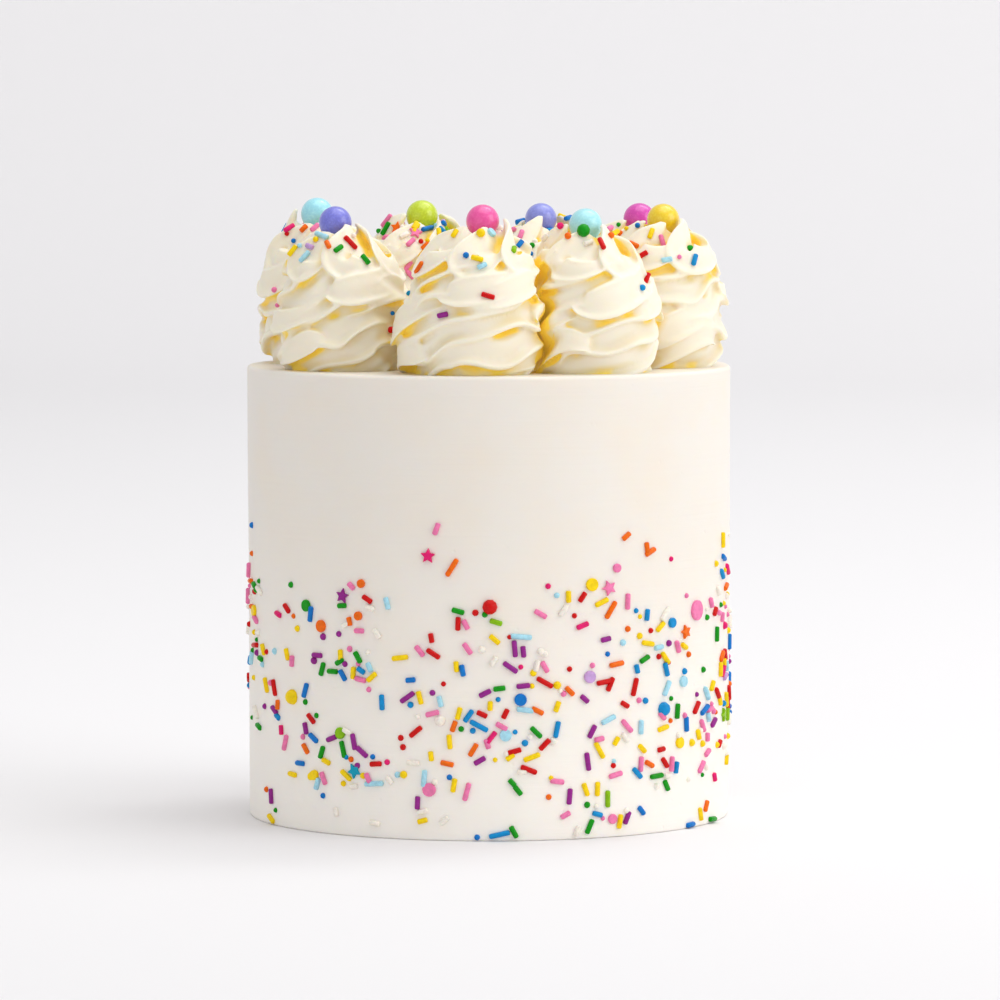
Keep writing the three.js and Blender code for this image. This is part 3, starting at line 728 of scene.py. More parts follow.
def sagged(points):
    """The lips that stand far outside the outline, drawn in softly."""
    reach = np.hypot(points[:, 0], points[:, 1])
    free = outline_reach(points[:, 2]) + FREE_STAND
    past = np.clip(reach - free, 0, None)
    share = 1 - (past - SAG_ROOM * (1 - np.exp(-past / SAG_ROOM))) / np.maximum(reach, 1)
    return points * np.stack([share, share, np.ones(len(points))], -1)


def settled(points, swirl):
    """From a swirl's own round and upright form to its place, with its lean and its flattened sides."""
    place = points.copy()
    up = np.clip(points[:, 2] / SWIRL_HEIGHT, 0, None)
    place[:, :2] *= swirl["width"]
    place[:, 0] += swirl["lean"] * up * up
    place[:, 2] *= 1 + swirl["rise"] / SWIRL_HEIGHT
    centre = swirl_centre(swirl)
    place += centre
    index = SWIRLS.index(swirl)
    by_height, by_pair, by_side = INTERLOCK_WAVES
    for step in (1, -1):
        other = SWIRLS[(index + step) % len(SWIRLS)]
        towards = swirl_centre(other) - centre
        apart = np.linalg.norm(towards)
        towards /= apart
        plane = apart * swirl["width"] / (swirl["width"] + other["width"])
        plane += (swirl["push"] - other["push"]) / 2
        pair = index if step == 1 else (index - 1) % len(SWIRLS)
        sideways = (place - centre) @ np.array([-towards[1], towards[0], 0]) * step
        folds = np.sin(by_height * place[:, 2] + by_pair * pair + by_side * sideways)
        past = (place - centre) @ towards - (plane + step * INTERLOCK * folds)
        room = PRESS_DEPTH - GAP / 2
        kept = -PRESS_DEPTH + room * (1 - np.exp(-np.clip(past + PRESS_DEPTH, 0, None) / room))
        place += np.where(past > -PRESS_DEPTH, kept - past, 0)[:, None] * towards
    place[:, 2] = np.maximum(place[:, 2] + CAKE_HEIGHT + GAP, CAKE_HEIGHT - SKIRT)
    return place


def piped_swirl(swirl):
    """One swirl: ribbons, middle, crown and folds merged into one skin, softened and set on the cake."""
    parts = [ribbon_rows(swirl, number) for number in range(swirl["ribbons"])]
    parts += [core_rows(), crown_middle(swirl)]
    parts += [crown_curl(swirl, number) for number in range(LEAVES)]
    parts += [side_fold(swirl, number) for number in range(FOLDS)]
    piece = merged_skin("piped_" + swirl["name"], [closed_skin(plumped(rows)) for rows in parts])
    edges = mesh_edges(piece.data)
    points = softened(mesh_points(piece.data), edges)
    move_points(piece.data, points)
    points = softened(points - PLUMP * mesh_normals(piece.data), edges)
    move_points(piece.data, settled(sagged(points), swirl))
    return piece


def piped_buttercream():
    """Glossy-edged buttercream, pale on its ridges, with painted shade that turns deep yellow down in its
    folds and a painted glow in the deepest.
    """
    material, tree, shader = new_material("piped buttercream", {
        "Roughness": 0.42, "Specular IOR Level": 0.45, "Emission Strength": PAINTED_CREVICE_GLOW,
        "Subsurface Weight": 0.45, "Subsurface Radius": (1.0, 0.75, 0.35), "Subsurface Scale": 3 * MM,
    })
    crevice = add_node(tree, "ShaderNodeAttribute", attribute_name="crevice").outputs["Fac"]
    # Painted shade: the ramp darkens the icing to cream in its creases and to deep yellow in its crevices.
    colour = add_node(tree, "ShaderNodeValToRGB", {"Fac": crevice})
    stops = colour.color_ramp.elements
    stops.new(CREASE_MARK)
    marks = ((RIDGE_MARK, RIDGE_COLOUR), (CREASE_MARK, CREASE_SHADE_COLOUR), (CREVICE_MARK, CREVICE_SHADE_COLOUR))
    for stop, (mark, tint) in zip(stops, marks):
        stop.position = mark
        stop.color = (*tint, 1)
    grain, _ = sugar_grain(tree, 0.7 * MM, 9 * MM)
    feed(tree, shader, {
        "Base Color": colour.outputs["Color"],
        # Painted glow: the deepest crevices give off light in their yellow.
        "Emission Color": mixed(tree, remapped(tree, crevice, 0.7, 1.0), (0, 0, 0), CREVICE_SHADE_COLOUR),
        "Normal": bumped(tree, grain, 0.3, 0.06 * MM),
    })
    return material


PIPED = piped_buttercream()
swirl_pieces = []
for swirl in SWIRLS:
    piece = piped_swirl(swirl)
    piece.data.materials.append(PIPED)
    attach(piece, "root")
    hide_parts(swirl["name"])
    swirl_pieces.append(piece)
paint_fold_shade(swirl_pieces)


# ==== The sugar pearls ======================================================================================
# Sugar balls in a thin hard shell with a pearly lustre, one set in each crown while the buttercream is soft.
PEARL_COLOURS = [
    ("pink_pearl", (0.85, 0.075, 0.34)), ("aqua_pearl", (0.38, 0.79, 0.86)),
    ("yellow_pearl", (0.88, 0.61, 0.005)), ("magenta_pearl", (0.66, 0.045, 0.42)),
    ("lavender_pearl", (0.23, 0.26, 0.72)), ("lime_pearl", (0.54, 0.68, 0.005)),
    ("light_blue_pearl", (0.34, 0.76, 0.88)), ("periwinkle_pearl", (0.17, 0.18, 0.67)),
]
PEARL_SUBDIVISIONS = 5
FLECKS_A_METRE = 1300.0
FLECK_SHARE = 0.55
PALER = (1.35, 0.05)  # how many times paler the flecks are, and how much is added


def pearl_mesh(name, centre, radius):
    """A smooth ball round a centre, in metres."""
    mesh = bpy.data.meshes.new(name)
    ball = bmesh.new()
    place = Matrix.Translation(centre)
    bmesh.ops.create_icosphere(ball, subdivisions=PEARL_SUBDIVISIONS, radius=radius, matrix=place)
    ball.to_mesh(mesh)
    ball.free()
    mesh.polygons.foreach_set("use_smooth", np.full(len(mesh.polygons), True))
    return new_object(name, mesh)


def sugar_shell(name, colour):
    """A hard sugar shell: paler pearly flecks in its colour, and a clear gloss."""
    gloss = {"Roughness": 0.32, "Coat Weight": 0.6, "Coat Roughness": 0.12}
    material, tree, shader = new_material(name, gloss)
    flecks = noise(tree, object_place(tree), FLECKS_A_METRE)
    paler = tuple(min(PALER[0] * c + PALER[1], 1) for c in colour)
    feed(tree, shader, {
        "Base Color": mixed(tree, remapped(tree, flecks, 0.45, 0.8, to_high=FLECK_SHARE), colour, paler),
        "Normal": bumped(tree, flecks, 0.2, 0.05 * MM),
    })
    return material


for number, (slot, colour) in enumerate(PEARL_COLOURS, 1):
    node = f"pearl_{number}"
    low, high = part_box(node)
    pearl = pearl_mesh("sugar_" + node, (low + high) / 2, (high.z - low.z) / 2)
    pearl.data.materials.append(sugar_shell(slot.replace("_", " "), colour))
    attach(pearl, "root")
    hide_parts(node)


# ==== The sprinkles =========================================================================================
# Sugar strands, balls, confetti, stars and hearts. Handfuls were pressed on the lower side while the coat was
# soft, and pinches were dropped on the swirls. Each piece lies half sunk or flat on what it stuck to.
SPRINKLE_SEED = 20817
FILL_SEED = 9241
DROP_SEED = 20867
TOP_SEED = 20826
TINT_SEED = 417
ROD_RADIUS = 0.76
STRAND_RADIUS = 0.87  # the strands are a little thicker than the CAD model's rods
FLAT_THICKNESS = 1.3
PRESSED_IN = {"rod": 0.3, "ball": 0.5, "disc": 0.3, "star": 0.3, "heart": 0.3}
PRESSED_IN_SWIRL = 0.3
# The smallest size that is drawn of each kind, and how much larger the largest is.
DRAWN_SIZES = {
    "rod": (2.8, 2.8), "ball": (1.6, 0.7), "disc": (3.2, 0.9), "star": (4.4, 0), "heart": (4.4, 0),
}
WHITE_BALL = (1.6, 1.0)
CROWDING = 0.36  # how close two pieces may come, as a share of their sizes together
SHOWN_CROWDING = 0.3  # how close a drawn one may come to one that shows
NEARLY_UP = 0.9  # above this a surface lies so flat that a piece's turn counts from the front

SUGAR_TINTS = {
    "pink": (240, 126, 176), "hot_pink": (228, 22, 112), "red": (208, 0, 0), "orange": (242, 108, 0),
    "yellow": (250, 214, 0), "green": (0, 150, 8), "lime": (135, 190, 0), "sky_blue": (0, 142, 207),
    "blue": (0, 118, 202), "pale_blue": (170, 222, 238), "purple": (150, 35, 140), "lilac": (200, 160, 215),
    "white": (247, 241, 229), "teal": (0, 160, 190),
}
# Shares of the colours among the coloured pieces, and of the kinds among all, each up to its own mark.
TINT_MARKS = [
    ("pink", 0.16), ("hot_pink", 0.20), ("red", 0.32), ("orange", 0.42), ("yellow", 0.60), ("green", 0.71),
    ("lime", 0.74), ("sky_blue", 0.81), ("blue", 0.86), ("pale_blue", 0.92), ("purple", 0.98), ("lilac", 1.0),
]
KIND_MARKS = [("rod", 0.64), ("ball", 0.965), ("disc", 0.985), ("star", 0.993), ("heart", 1.0)]
WHITE_FROM = 0.86  # the share above which a drawn piece is white

# The pieces that stand out on the side: kind, size, degrees from the front, height, degrees of turn, colour.
CHOSEN = [
    ("rod", 4.0, -12, 100.3, 70, "pink"), ("star", 4.6, -14, 91.6, 15, "hot_pink"),
    ("rod", 6.4, -8.4, 88, 58, "orange"), ("ball", 5.0, 0.3, 75.4, 0, "red"),
    ("star", 4.6, -36, 77.7, 80, "purple"), ("disc", 2.8, -30.8, 82, 0, "orange"),
    ("disc", 2.9, -31.6, 71.5, 0, "orange"), ("disc", 4.0, -42.6, 67.4, 0, "orange"),
    ("disc", 3.9, -47.6, 73.6, 0, "green"), ("disc", 3.8, -36.8, 33.2, 0, "lime"),
    ("ball", 5.2, -53, 43.3, 0, "yellow"), ("star", 4.8, -32.8, 21.3, 120, "teal"),
    ("heart", 4.4, -45.7, 18.4, 200, "yellow"), ("rod", 6.8, 7.5, 65.8, -5, "pale_blue"),
    ("disc", 4.2, 24.5, 82, 0, "yellow"), ("star", 4.8, 28.9, 80.7, 40, "pink"),
    ("rod", 6.4, 29.4, 73.6, 56, "orange"), ("rod", 3.6, 39.6, 93, 100, "orange"),
    ("rod", 4.4, 40.6, 91.6, 25, "orange"), ("disc", 6.6, 57.9, 71.1, 0, "pink"),
    ("rod", 5.2, 27.6, 50.4, 8, "red"), ("rod", 4.8, 29.3, 49.6, 65, "red"),
    ("rod", 6.0, 36.1, 48.2, 75, "red"), ("ball", 4.8, 45.2, 40.2, 0, "sky_blue"),
    ("disc", 4.0, 24, 52.3, 0, "lilac"), ("rod", 4.6, -4.6, 40.4, 55, "sky_blue"),
    ("rod", 6.4, -2.2, 37.2, -28, "sky_blue"), ("ball", 3.6, -11.2, 38.7, 0, "white"),
    ("disc", 4.4, -13.8, 16.4, 0, "pink"), ("rod", 6.8, -27.5, 17.6, 5, "pale_blue"),
    ("rod", 6.8, 2.5, 2.2, 12, "sky_blue"), ("rod", 4.2, 5.8, 3.0, -62, "green"),
    ("rod", 6.0, 26.5, 28.5, -60, "yellow"), ("ball", 2.2, -77, 97, 0, "blue"),
]

# Smaller pieces that show in the front, by kind and colour: size, degrees from the front, height and degrees
# of turn.
SHOWN = {
    ("rod", "red"): [
        (4.1, -46, 37, -40), (4.1, -27, 24, 5), (5.0, -17, 35, 40), (4.4, -7, 70, 88), (5.9, 13, 51, -30),
        (4.4, 6, 29, 15), (4.6, 13, 31, 45), (3.8, -55, 72, -40),
    ],
    ("rod", "blue"): [
        (5.1, -46, 71, 82), (5.0, -48, 46, 70), (4.0, -50, 22, 0), (4.0, -36, 52, -55), (3.8, -6, 55, -80),
        (5.6, 62, 38, 25),
    ],
    ("rod", "yellow"): [
        (4.0, -55, 57, -70), (4.0, -53, 18, -5), (4.0, -33, 53, 85), (4.1, -28, 52, 40), (4.4, -16, 46, -75),
        (4.5, -8, 18, 80), (4.7, -9, 32, -85), (5.6, 10, 27, 20), (4.4, 23, 16, -70), (4.6, 26, 16, 88),
        (4.7, 32, 5, 80), (4.9, 40, 62, -10), (4.6, 45, 34, 12), (4.4, 60, 4, -75), (4.9, 72, 50, 88),
    ],
    ("rod", "pink"): [
        (3.7, -53, 55, 85), (5.4, -56, 28, 70), (4.4, -42, 18, -65), (4.1, -29, 19, -65), (4.0, -31, 51, -10),
        (4.2, -16, 61, -50), (4.5, -13, 41, 15), (5.9, -5, 16, 75), (4.4, 12, 73, -30), (4.0, 13, 56, -60),
        (4.1, 3, 37, -30), (4.6, 16, 19, -8), (5.0, 38, 23, 85), (5.2, 34, 76, 88), (4.1, 50, 60, -70),
        (5.0, 48, 22, 85),
    ],
    ("rod", "purple"): [
        (4.1, -61, 38, -30), (5.5, -19, 46, 35), (4.1, -2, 26, 30), (5.4, 6, 62, -85), (3.7, 8, 61, -85),
        (5.4, 5, 56, -35), (4.4, 8, 50, 5), (5.2, 19, 14, 85), (5.9, 23.5, 25, -82), (4.4, 34, 6, 65),
    ],
    ("rod", "green"): [
        (5.6, -36, 28, -75), (4.1, -39, 53, 0), (4.1, -7, 74, -15), (4.7, 11, 35, -45), (5.0, 24, 4, 65),
        (4.0, 39, 57, 25), (5.0, 50, 39, 85), (5.0, 69, 62, 88),
    ],
    ("rod", "orange"): [(3.8, -48, 27, -50), (3.7, -8, 37, 70), (3.7, 19, 48, -45), (5.2, 31, 56, 8)],
    ("rod", "pale_blue"): [(4.0, -44, 16, 70), (4.0, -24, 76, -75), (5.5, -15, 20, 85), (4.6, 38, 35, 88)],
    ("ball", "yellow"): [(2.6, -20, 21, 0), (2.7, 16, 50, 0), (2.6, 56, 28, 0), (2.4, 61, 27, 0)],
    ("ball", "purple"): [(2.4, -42, 64, 0), (2.6, -45, 56, 0)],
    ("ball", "hot_pink"): [(2.8, 76, 64, 0)],
    ("disc", "pink"): [(3.2, 30, 6, 0), (2.9, 31, 87, 0)],
    ("disc", "sky_blue"): [(3.3, 48, 68, 0)],
}

# The last ones fall in beside others: how far round in degrees, how far up, and how close they may come.
FILL_TRIES = 330
FILL_AROUND = 5.0
FILL_HEIGHT = 4.5
FILL_CROWDING = 0.27
FILL_LARGEST = 3.7

# Where handfuls landed: degrees from the front, height, spread of each, and how many.
HANDFULS = [
    (-76, 80, 5, 7, 11), (-71, 60, 8, 9, 8), (-67, 41, 6, 9, 17), (-50, 70, 5, 4, 8), (-33, 77, 4, 5, 8),
    (-36, 56, 6, 3, 14), (-45, 32, 9, 5, 18), (-33, 23, 6, 5, 16), (-16, 48, 4, 7, 8), (-5, 70, 4, 3, 6),
    (-4, 40, 5, 6, 12), (6, 57, 5, 6, 20), (9, 40, 6, 5, 11), (17, 48, 5, 6, 10), (28, 76, 5, 5, 8),
    (34, 64, 7, 5, 8), (33, 46, 5, 5, 6), (46, 57, 7, 6, 11), (50, 42, 7, 7, 11), (44, 72, 5, 4, 3),
    (74, 76, 5, 8, 14), (76, 58, 5, 7, 17), (79, 36, 5, 9, 20), (62, 36, 6, 6, 12), (37, 25, 7, 6, 11),
    (24, 18, 5, 5, 9), (22, 7, 4, 4, 6), (31, 6, 3, 3, 4), (-13, 20, 6, 6, 7), (8, 30, 6, 5, 8),
    (60, 22, 7, 7, 5), (-60, 8, 9, 4, 5), (-12, 5, 7, 3, 3), (63, 4, 5, 2, 3),
]
# Those behind are drawn, between these degrees: the least of each of the same numbers, and how much more.
BACK_HANDFULS = 22
BACK_FROM = 98
BACK_TO = 262
BACK_RANGES = ((22, 48), (6, 4), (5, 6))
BACK_COUNT = (8, 10)

# Pieces on the front of the swirls, by kind and colour: size, how far across and how high they show from the
# front, and degrees of turn.
ON_SWIRLS = {
    ("rod", "pink"): [
        (3.6, -57.5, 194.2, 70), (4.2, -27.1, 181.7, 45), (3.8, -26.1, 178.7, -50), (4.0, -25.8, 189.3, 85),
        (3.6, 10.6, 191.9, 80), (3.2, 39.7, 193.9, 20), (6.6, 57.6, 188.9, -80),
    ],
    ("rod", "yellow"): [
        (4.2, -64.8, 186.6, 72), (3.4, -24.5, 194.9, 60), (3.4, -16.8, 192.6, 75), (3.0, -11.2, 192.3, 80),
        (4.0, -3.9, 184.0, -18), (3.0, 41.7, 192.6, 30), (3.8, 53.6, 192.3, 68),
    ],
    ("rod", "orange"): [
        (3.0, -61.2, 193.9, 60), (3.2, -53.2, 188.6, -50), (5.0, -22.8, 181.0, 52), (3.2, -21.1, 188.3, 40),
        (3.8, 48.0, 188.6, -25),
    ],
    ("rod", "pale_blue"): [
        (4.6, -60.9, 184.6, 60), (5.6, -55.2, 191.6, -20), (3.2, -2.3, 181.7, 22), (3.6, 58.9, 183.7, 10),
        (3.0, 60.3, 192.9, 40),
    ],
    ("rod", "red"): [
        (5.6, -46.0, 189.3, -52), (4.4, -0.3, 171.7, -18), (5.0, 37.4, 188.9, -62), (3.6, 51.0, 185.3, 35),
        (3.8, 52.0, 177.7, 62),
    ],
    ("rod", "green"): [
        (3.6, -49.9, 187.3, 32), (3.8, -41.0, 183.7, -68), (5.4, -37.4, 194.6, -38),
        (5.0, -34.0, 193.9, 78),
    ],
    ("rod", "blue"): [(6.0, -20.5, 193.9, 8), (5.0, -15.2, 195.6, -12), (2.8, 10.3, 188.9, 55)],
    ("rod", "white"): [(3.4, -28.1, 191.6, 30), (3.0, 18.9, 190.9, 60), (3.4, 32.8, 189.3, 15)],
    ("rod", "lilac"): [(3.0, -59.2, 188.0, -20)],
    ("rod", "lime"): [(2.4, 8.0, 187.0, 40)],
    ("rod", "purple"): [(3.6, -15.2, 165.4, 12)],
    ("rod", "sky_blue"): [(4.0, 67.9, 183.7, 65)],
    ("ball", "blue"): [
        (1.7, -64.5, 189.9, 0), (1.5, -32.1, 166.1, 0), (2.1, -7.6, 185.0, 0), (1.8, 13.9, 185.6, 0),
        (1.9, 49.3, 194.9, 0),
    ],
    ("ball", "green"): [
        (2.0, 14.3, 188.3, 0), (4.4, 31.1, 192.9, 0), (1.6, 43.0, 195.2, 0), (2.3, 66.2, 187.3, 0),
    ],
    ("ball", "pink"): [
        (2.0, -70.8, 173.7, 0), (1.6, -69.8, 168.8, 0), (1.7, 20.2, 193.9, 0), (1.6, 62.9, 184.6, 0),
    ],
    ("ball", "yellow"): [
        (2.0, -57.2, 190.3, 0), (1.6, -20.2, 189.9, 0), (3.0, -2.9, 192.3, 0), (1.6, 45.7, 193.9, 0),
    ],
    ("ball", "orange"): [(2.3, 26.2, 191.3, 0), (2.2, 40.1, 191.6, 0), (2.0, 43.7, 192.3, 0)],
    ("ball", "red"): [(1.6, -66.8, 192.3, 0), (2.3, -32.8, 160.5, 0), (1.8, -22.5, 189.6, 0)],
    ("ball", "sky_blue"): [(2.2, -26.5, 172.1, 0), (2.2, 50.4, 174.4, 0)],
    ("ball", "hot_pink"): [(2.4, 23.9, 194.6, 0)],
    ("ball", "pale_blue"): [(1.6, -62.5, 188.3, 0)],
    ("ball", "white"): [(1.8, -45.0, 191.6, 0)],
    ("disc", "pale_blue"): [(3.2, 0.7, 192.6, 0)],
    ("star", "orange"): [(4.4, -30.4, 194.2, 10)],
}
FRONT_EYE = Vector((0.00367, -2.075, 0.252))

# Pinches dropped on the swirls. On those in front only what falls behind the middle stays.
DROPPED_A_SWIRL = 17
DROP_RADIUS = 15
DROP_CLEAR = 0.15  # the share of the pinch, in its middle, where nothing falls
DROP_LEAN = 0.7  # how much of the swirl's lean the pinch follows
DROP_LOWEST = 20  # pieces stick above this height on the swirl, where the skin isn't too steep
DROP_STEEPEST = 0.25
FRONT_SWIRLS_TO = 10
FRONT_KEPT_FROM = 3
SKIN_REACH = 1.2  # how far round a place the skin's way out is smoothed

# A pinch that fell on the cake's top, inside the ring.
TOP_SPRINKLES = 26
TOP_SCATTER_RADIUS = 24


def random_from(seed):
    """Even random numbers from 0 to 1, the same each run."""
    state = seed

    def draw():
        nonlocal state
        state = (state * 1664525 + 1013904223) % 2 ** 32
        return state / 2 ** 32
    return draw


def bell(draw):
    """A spread of about one, from three even draws."""
    return 2 * (draw() + draw() + draw() - 1.5)


def pick(marks, share):
    """The entry whose mark the share falls under."""
    return next(name for name, mark in marks if share < mark or mark == 1.0)


def drawn_sprinkle(draw):
    """A random piece: kind, size, degrees of turn, and whether it is white."""
    kind = pick(KIND_MARKS, draw())
    white = draw() > WHITE_FROM
    share = draw()
    turn = 180 * draw()
    least, more = DRAWN_SIZES[kind]
    if white and kind != "rod":
        kind, (least, more) = "ball", WHITE_BALL
    return kind, least + more * share, turn, white


def too_close(other, size, around, height, crowding=CROWDING):
    """Whether a piece would lie on one that is there already."""
    apart = (other[2] - around + 180) % 360 - 180
    return math.hypot(math.radians(apart) * TOP_RADIUS, other[3] - height) < crowding * (other[1] + size)


def side_scatter():
    """Pieces on the side: kind, size, degrees from the front, height, turn and colour, None where undrawn."""
    draw = random_from(SPRINKLE_SEED)
    lying = list(CHOSEN)
    handfuls = list(HANDFULS)
    for i in range(BACK_HANDFULS):
        around = BACK_FROM + (BACK_TO - BACK_FROM) * (i + draw()) / BACK_HANDFULS
        height_and_spreads = [least + more * draw() for least, more in BACK_RANGES]
        handfuls.append((around, *height_and_spreads, BACK_COUNT[0] + math.floor(BACK_COUNT[1] * draw())))
    for around, height, around_spread, height_spread, count in handfuls:
        for _ in range(count):
            at = around + around_spread * bell(draw)
            up = height + height_spread * bell(draw)
            kind, size, turn, white = drawn_sprinkle(draw)
            down = size / 2 * math.sin(math.radians(turn)) + ROD_RADIUS if kind == "rod" else size / 2
            up = max(up, down + GAP)
            if not any(too_close(other, size, at, up) for other in lying):
                lying.append((kind, size, at, up, turn, "white" if white else None))
    return lying


def one_by_one(table):
    """A table's pieces, each with its kind, its numbers and its colour."""
    return [(kind, *row, tint) for (kind, tint), rows in table.items() for row in rows]


def filled_in(lying):
    """The pieces on the side with the smaller ones that show, and with more small ones beside them all."""
    lying = lying + one_by_one(SHOWN)
    draw = random_from(FILL_SEED)
    for _ in range(FILL_TRIES):
        beside = lying[math.floor(len(lying) * draw())]
        around = beside[2] + FILL_AROUND * bell(draw)
        height = beside[3] + FILL_HEIGHT * bell(draw)
        kind, size, turn, white = drawn_sprinkle(draw)
        if size > FILL_LARGEST or height < size / 2 + STRAND_RADIUS:
            continue
        if not any(too_close(other, size, around, height, FILL_CROWDING) for other in lying):
            lying.append((kind, size, around, height, turn, "white" if white else None))
    return lying


def laid(kind, size, point, outward, turn, tint, sunk=None):
    """A piece lying on a surface: its kind, place, axes, scale and colour."""
    outward = Vector(outward).normalized()
    steady = Vector((0, -1, 0)) if abs(outward.z) > NEARLY_UP else Vector((0, 0, 1))
    level = steady.cross(outward).normalized()
    turn = math.radians(turn)
    along = level * math.cos(turn) + outward.cross(level) * math.sin(turn)
    axes = Matrix((along, outward.cross(along), outward)).transposed()
    thickness = {"rod": 2 * STRAND_RADIUS, "ball": size}.get(kind, FLAT_THICKNESS)
    pressed = PRESSED_IN[kind] if sunk is None else sunk
    place = Vector(point) + outward * thickness * (0.5 - pressed)
    rod_and_ball = {"rod": (size, STRAND_RADIUS, STRAND_RADIUS), "ball": (size / 2,) * 3}
    scale = Vector(rod_and_ball.get(kind, (size, size, FLAT_THICKNESS)))
    return {"kind": kind, "place": place * MM, "turned": axes.to_euler(), "scale": scale * MM, "tint": tint}


def sprinkles_on_side(draw_tint):
    """The scatter laid on the coat, without the drawn pieces that would lie on those that show."""
    pieces = []
    shown = one_by_one(SHOWN)
    for entry in filled_in(side_scatter()):
        kind, size, around, height, turn, tint = entry
        tint = tint or pick(TINT_MARKS, draw_tint())
        placed = entry in CHOSEN or entry in shown
        if not placed and any(too_close(other, size, around, height, SHOWN_CROWDING) for other in shown):
            continue
        angle = math.radians(around)
        outward = Vector((math.sin(angle), -math.cos(angle), 0))
        point = outward * side_radius(height) + Vector((0, 0, height))
        pieces.append(laid(kind, size, point, outward, turn, tint))
    return pieces


def skin_trees():
    """Search trees of the swirls."""
    graph = bpy.context.evaluated_depsgraph_get()
    graph.update()
    return [BVHTree.FromObject(piece, graph) for piece in swirl_pieces]


def first_hit(trees, start, direction):
    """The first skin on a line, in millimetres, and its way out, smoothed over its neighbourhood."""
    best = None
    for tree in trees:
        point, _, _, distance = tree.ray_cast(start, direction)
        if point is not None and (best is None or distance < best[2]):
            best = (point, tree, distance)
    if best is None:
        return None, None
    normals = [found[1] for found in best[1].find_nearest_range(best[0], SKIN_REACH * MM)]
    return best[0] / MM, sum(normals, Vector((0, 0, 0))).normalized()


def sprinkles_on_swirls(trees, draw_tint):
    """The pieces seen on the front of the swirls, then pinches dropped on their tops and backs."""
    pieces = []
    for kind, size, across, height, turn, tint in one_by_one(ON_SWIRLS):
        aim = Vector((across, 0, height)) * MM
        point, outward = first_hit(trees, FRONT_EYE, (aim - FRONT_EYE).normalized())
        if point is not None:
            pieces.append(laid(kind, size, point, outward, turn, tint, PRESSED_IN_SWIRL))
    draw = random_from(DROP_SEED)
    for swirl in SWIRLS:
        centre = swirl_centre(swirl)
        for _ in range(DROPPED_A_SWIRL):
            angle = 2 * math.pi * draw()
            reach = DROP_RADIUS * math.sqrt(DROP_CLEAR + (1 - DROP_CLEAR) * draw())
            kind, size, turn, white = drawn_sprinkle(draw)
            tint = "white" if white else pick(TINT_MARKS, draw_tint())
            x = centre[0] + swirl["lean"] * DROP_LEAN + reach * math.cos(angle)
            y = centre[1] + reach * math.sin(angle)
            if y < centre[1] + FRONT_KEPT_FROM and centre[1] < FRONT_SWIRLS_TO:
                continue
            start = Vector((x, y, CAKE_HEIGHT + 2 * SWIRL_HEIGHT)) * MM
            point, outward = first_hit(trees, start, Vector((0, 0, -1)))
            if point is None or outward.z < DROP_STEEPEST or point.z < CAKE_HEIGHT + DROP_LOWEST:
                continue
            pieces.append(laid(kind, size, point, outward, turn, tint, PRESSED_IN_SWIRL))
    return pieces


def sprinkles_on_top(draw_tint):
    """The few that fell on the cake's top inside the ring of swirls."""
    draw = random_from(TOP_SEED)
    pieces = []
    for _ in range(TOP_SPRINKLES):
        angle, reach = 2 * math.pi * draw(), TOP_SCATTER_RADIUS * math.sqrt(draw())
        kind, size, turn, white = drawn_sprinkle(draw)
        tint = "white" if white else pick(TINT_MARKS, draw_tint())
        point = (reach * math.cos(angle), reach * math.sin(angle), CAKE_HEIGHT)
        pieces.append(laid(kind, size, point, (0, 0, 1), turn, tint))
    return pieces


# The shapes, in units of the pieces' sizes. The rod's rings: place along it and radius. The edge of the flat
# ones: share of the outline and height.
ROD_RINGS = np.array([(-0.5, 0.55), (-0.46, 0.9), (-0.40, 1.0), (0.40, 1.0), (0.46, 0.9), (0.5, 0.55)])
ROD_CORNERS = 9
BALL_BANDS = 7
BALL_CORNERS = 10
FLAT_EDGE = np.array([(0.88, -0.5), (1.0, -0.344), (1.0, 0.344), (0.88, 0.5)])
DISC_CORNERS = 16
DISC_REACH = 0.5
STAR_POINTS = 5
STAR_REACH = (0.54, 0.27)
HEART_CORNERS = 16
HEART_WAVES = (0.44, -0.1, 0.12)  # its reach: an even part, and waves that come once and twice round it


def capped(name, rows, smooth=True):
    """A solid of closed loops with a flat face at each end, its points in units."""
    count, columns = rows.shape[:2]
    last = (count - 1) * columns
    faces = [tuple(reversed(range(columns))), tuple(range(last, last + columns)), *grid_faces(count, columns)]
    return plain_mesh(name, rows.reshape(-1, 3) / MM, faces, smooth)


def unit_rod():
    """A strand of unit length along X and unit radius, with rounded ends."""
    along, radius = ROD_RINGS[:, :1], ROD_RINGS[:, 1:]
    return capped("unit_rod", np.roll(round_rows(radius, round_angles(ROD_CORNERS), along), 1, -1))


def unit_ball():
    """A ball of unit radius with a few dozen faces."""
    tilt = math.pi * (np.arange(1, BALL_BANDS)[:, None] / BALL_BANDS - 0.5)
    rows = round_rows(np.cos(tilt), round_angles(BALL_CORNERS), np.sin(tilt))
    points, faces = closed_skin(rows, [(0, 0, -1), (0, 0, 1)])
    return plain_mesh("unit_ball", points / MM, faces)


def unit_flat(name, reach):
    """A thin solid of unit size, its corners at even angles round it, its edges rounded."""
    share, height = FLAT_EDGE[:, :1], FLAT_EDGE[:, 1:]
    return capped(name, round_rows(share * reach, round_angles(len(reach)), height), smooth=False)


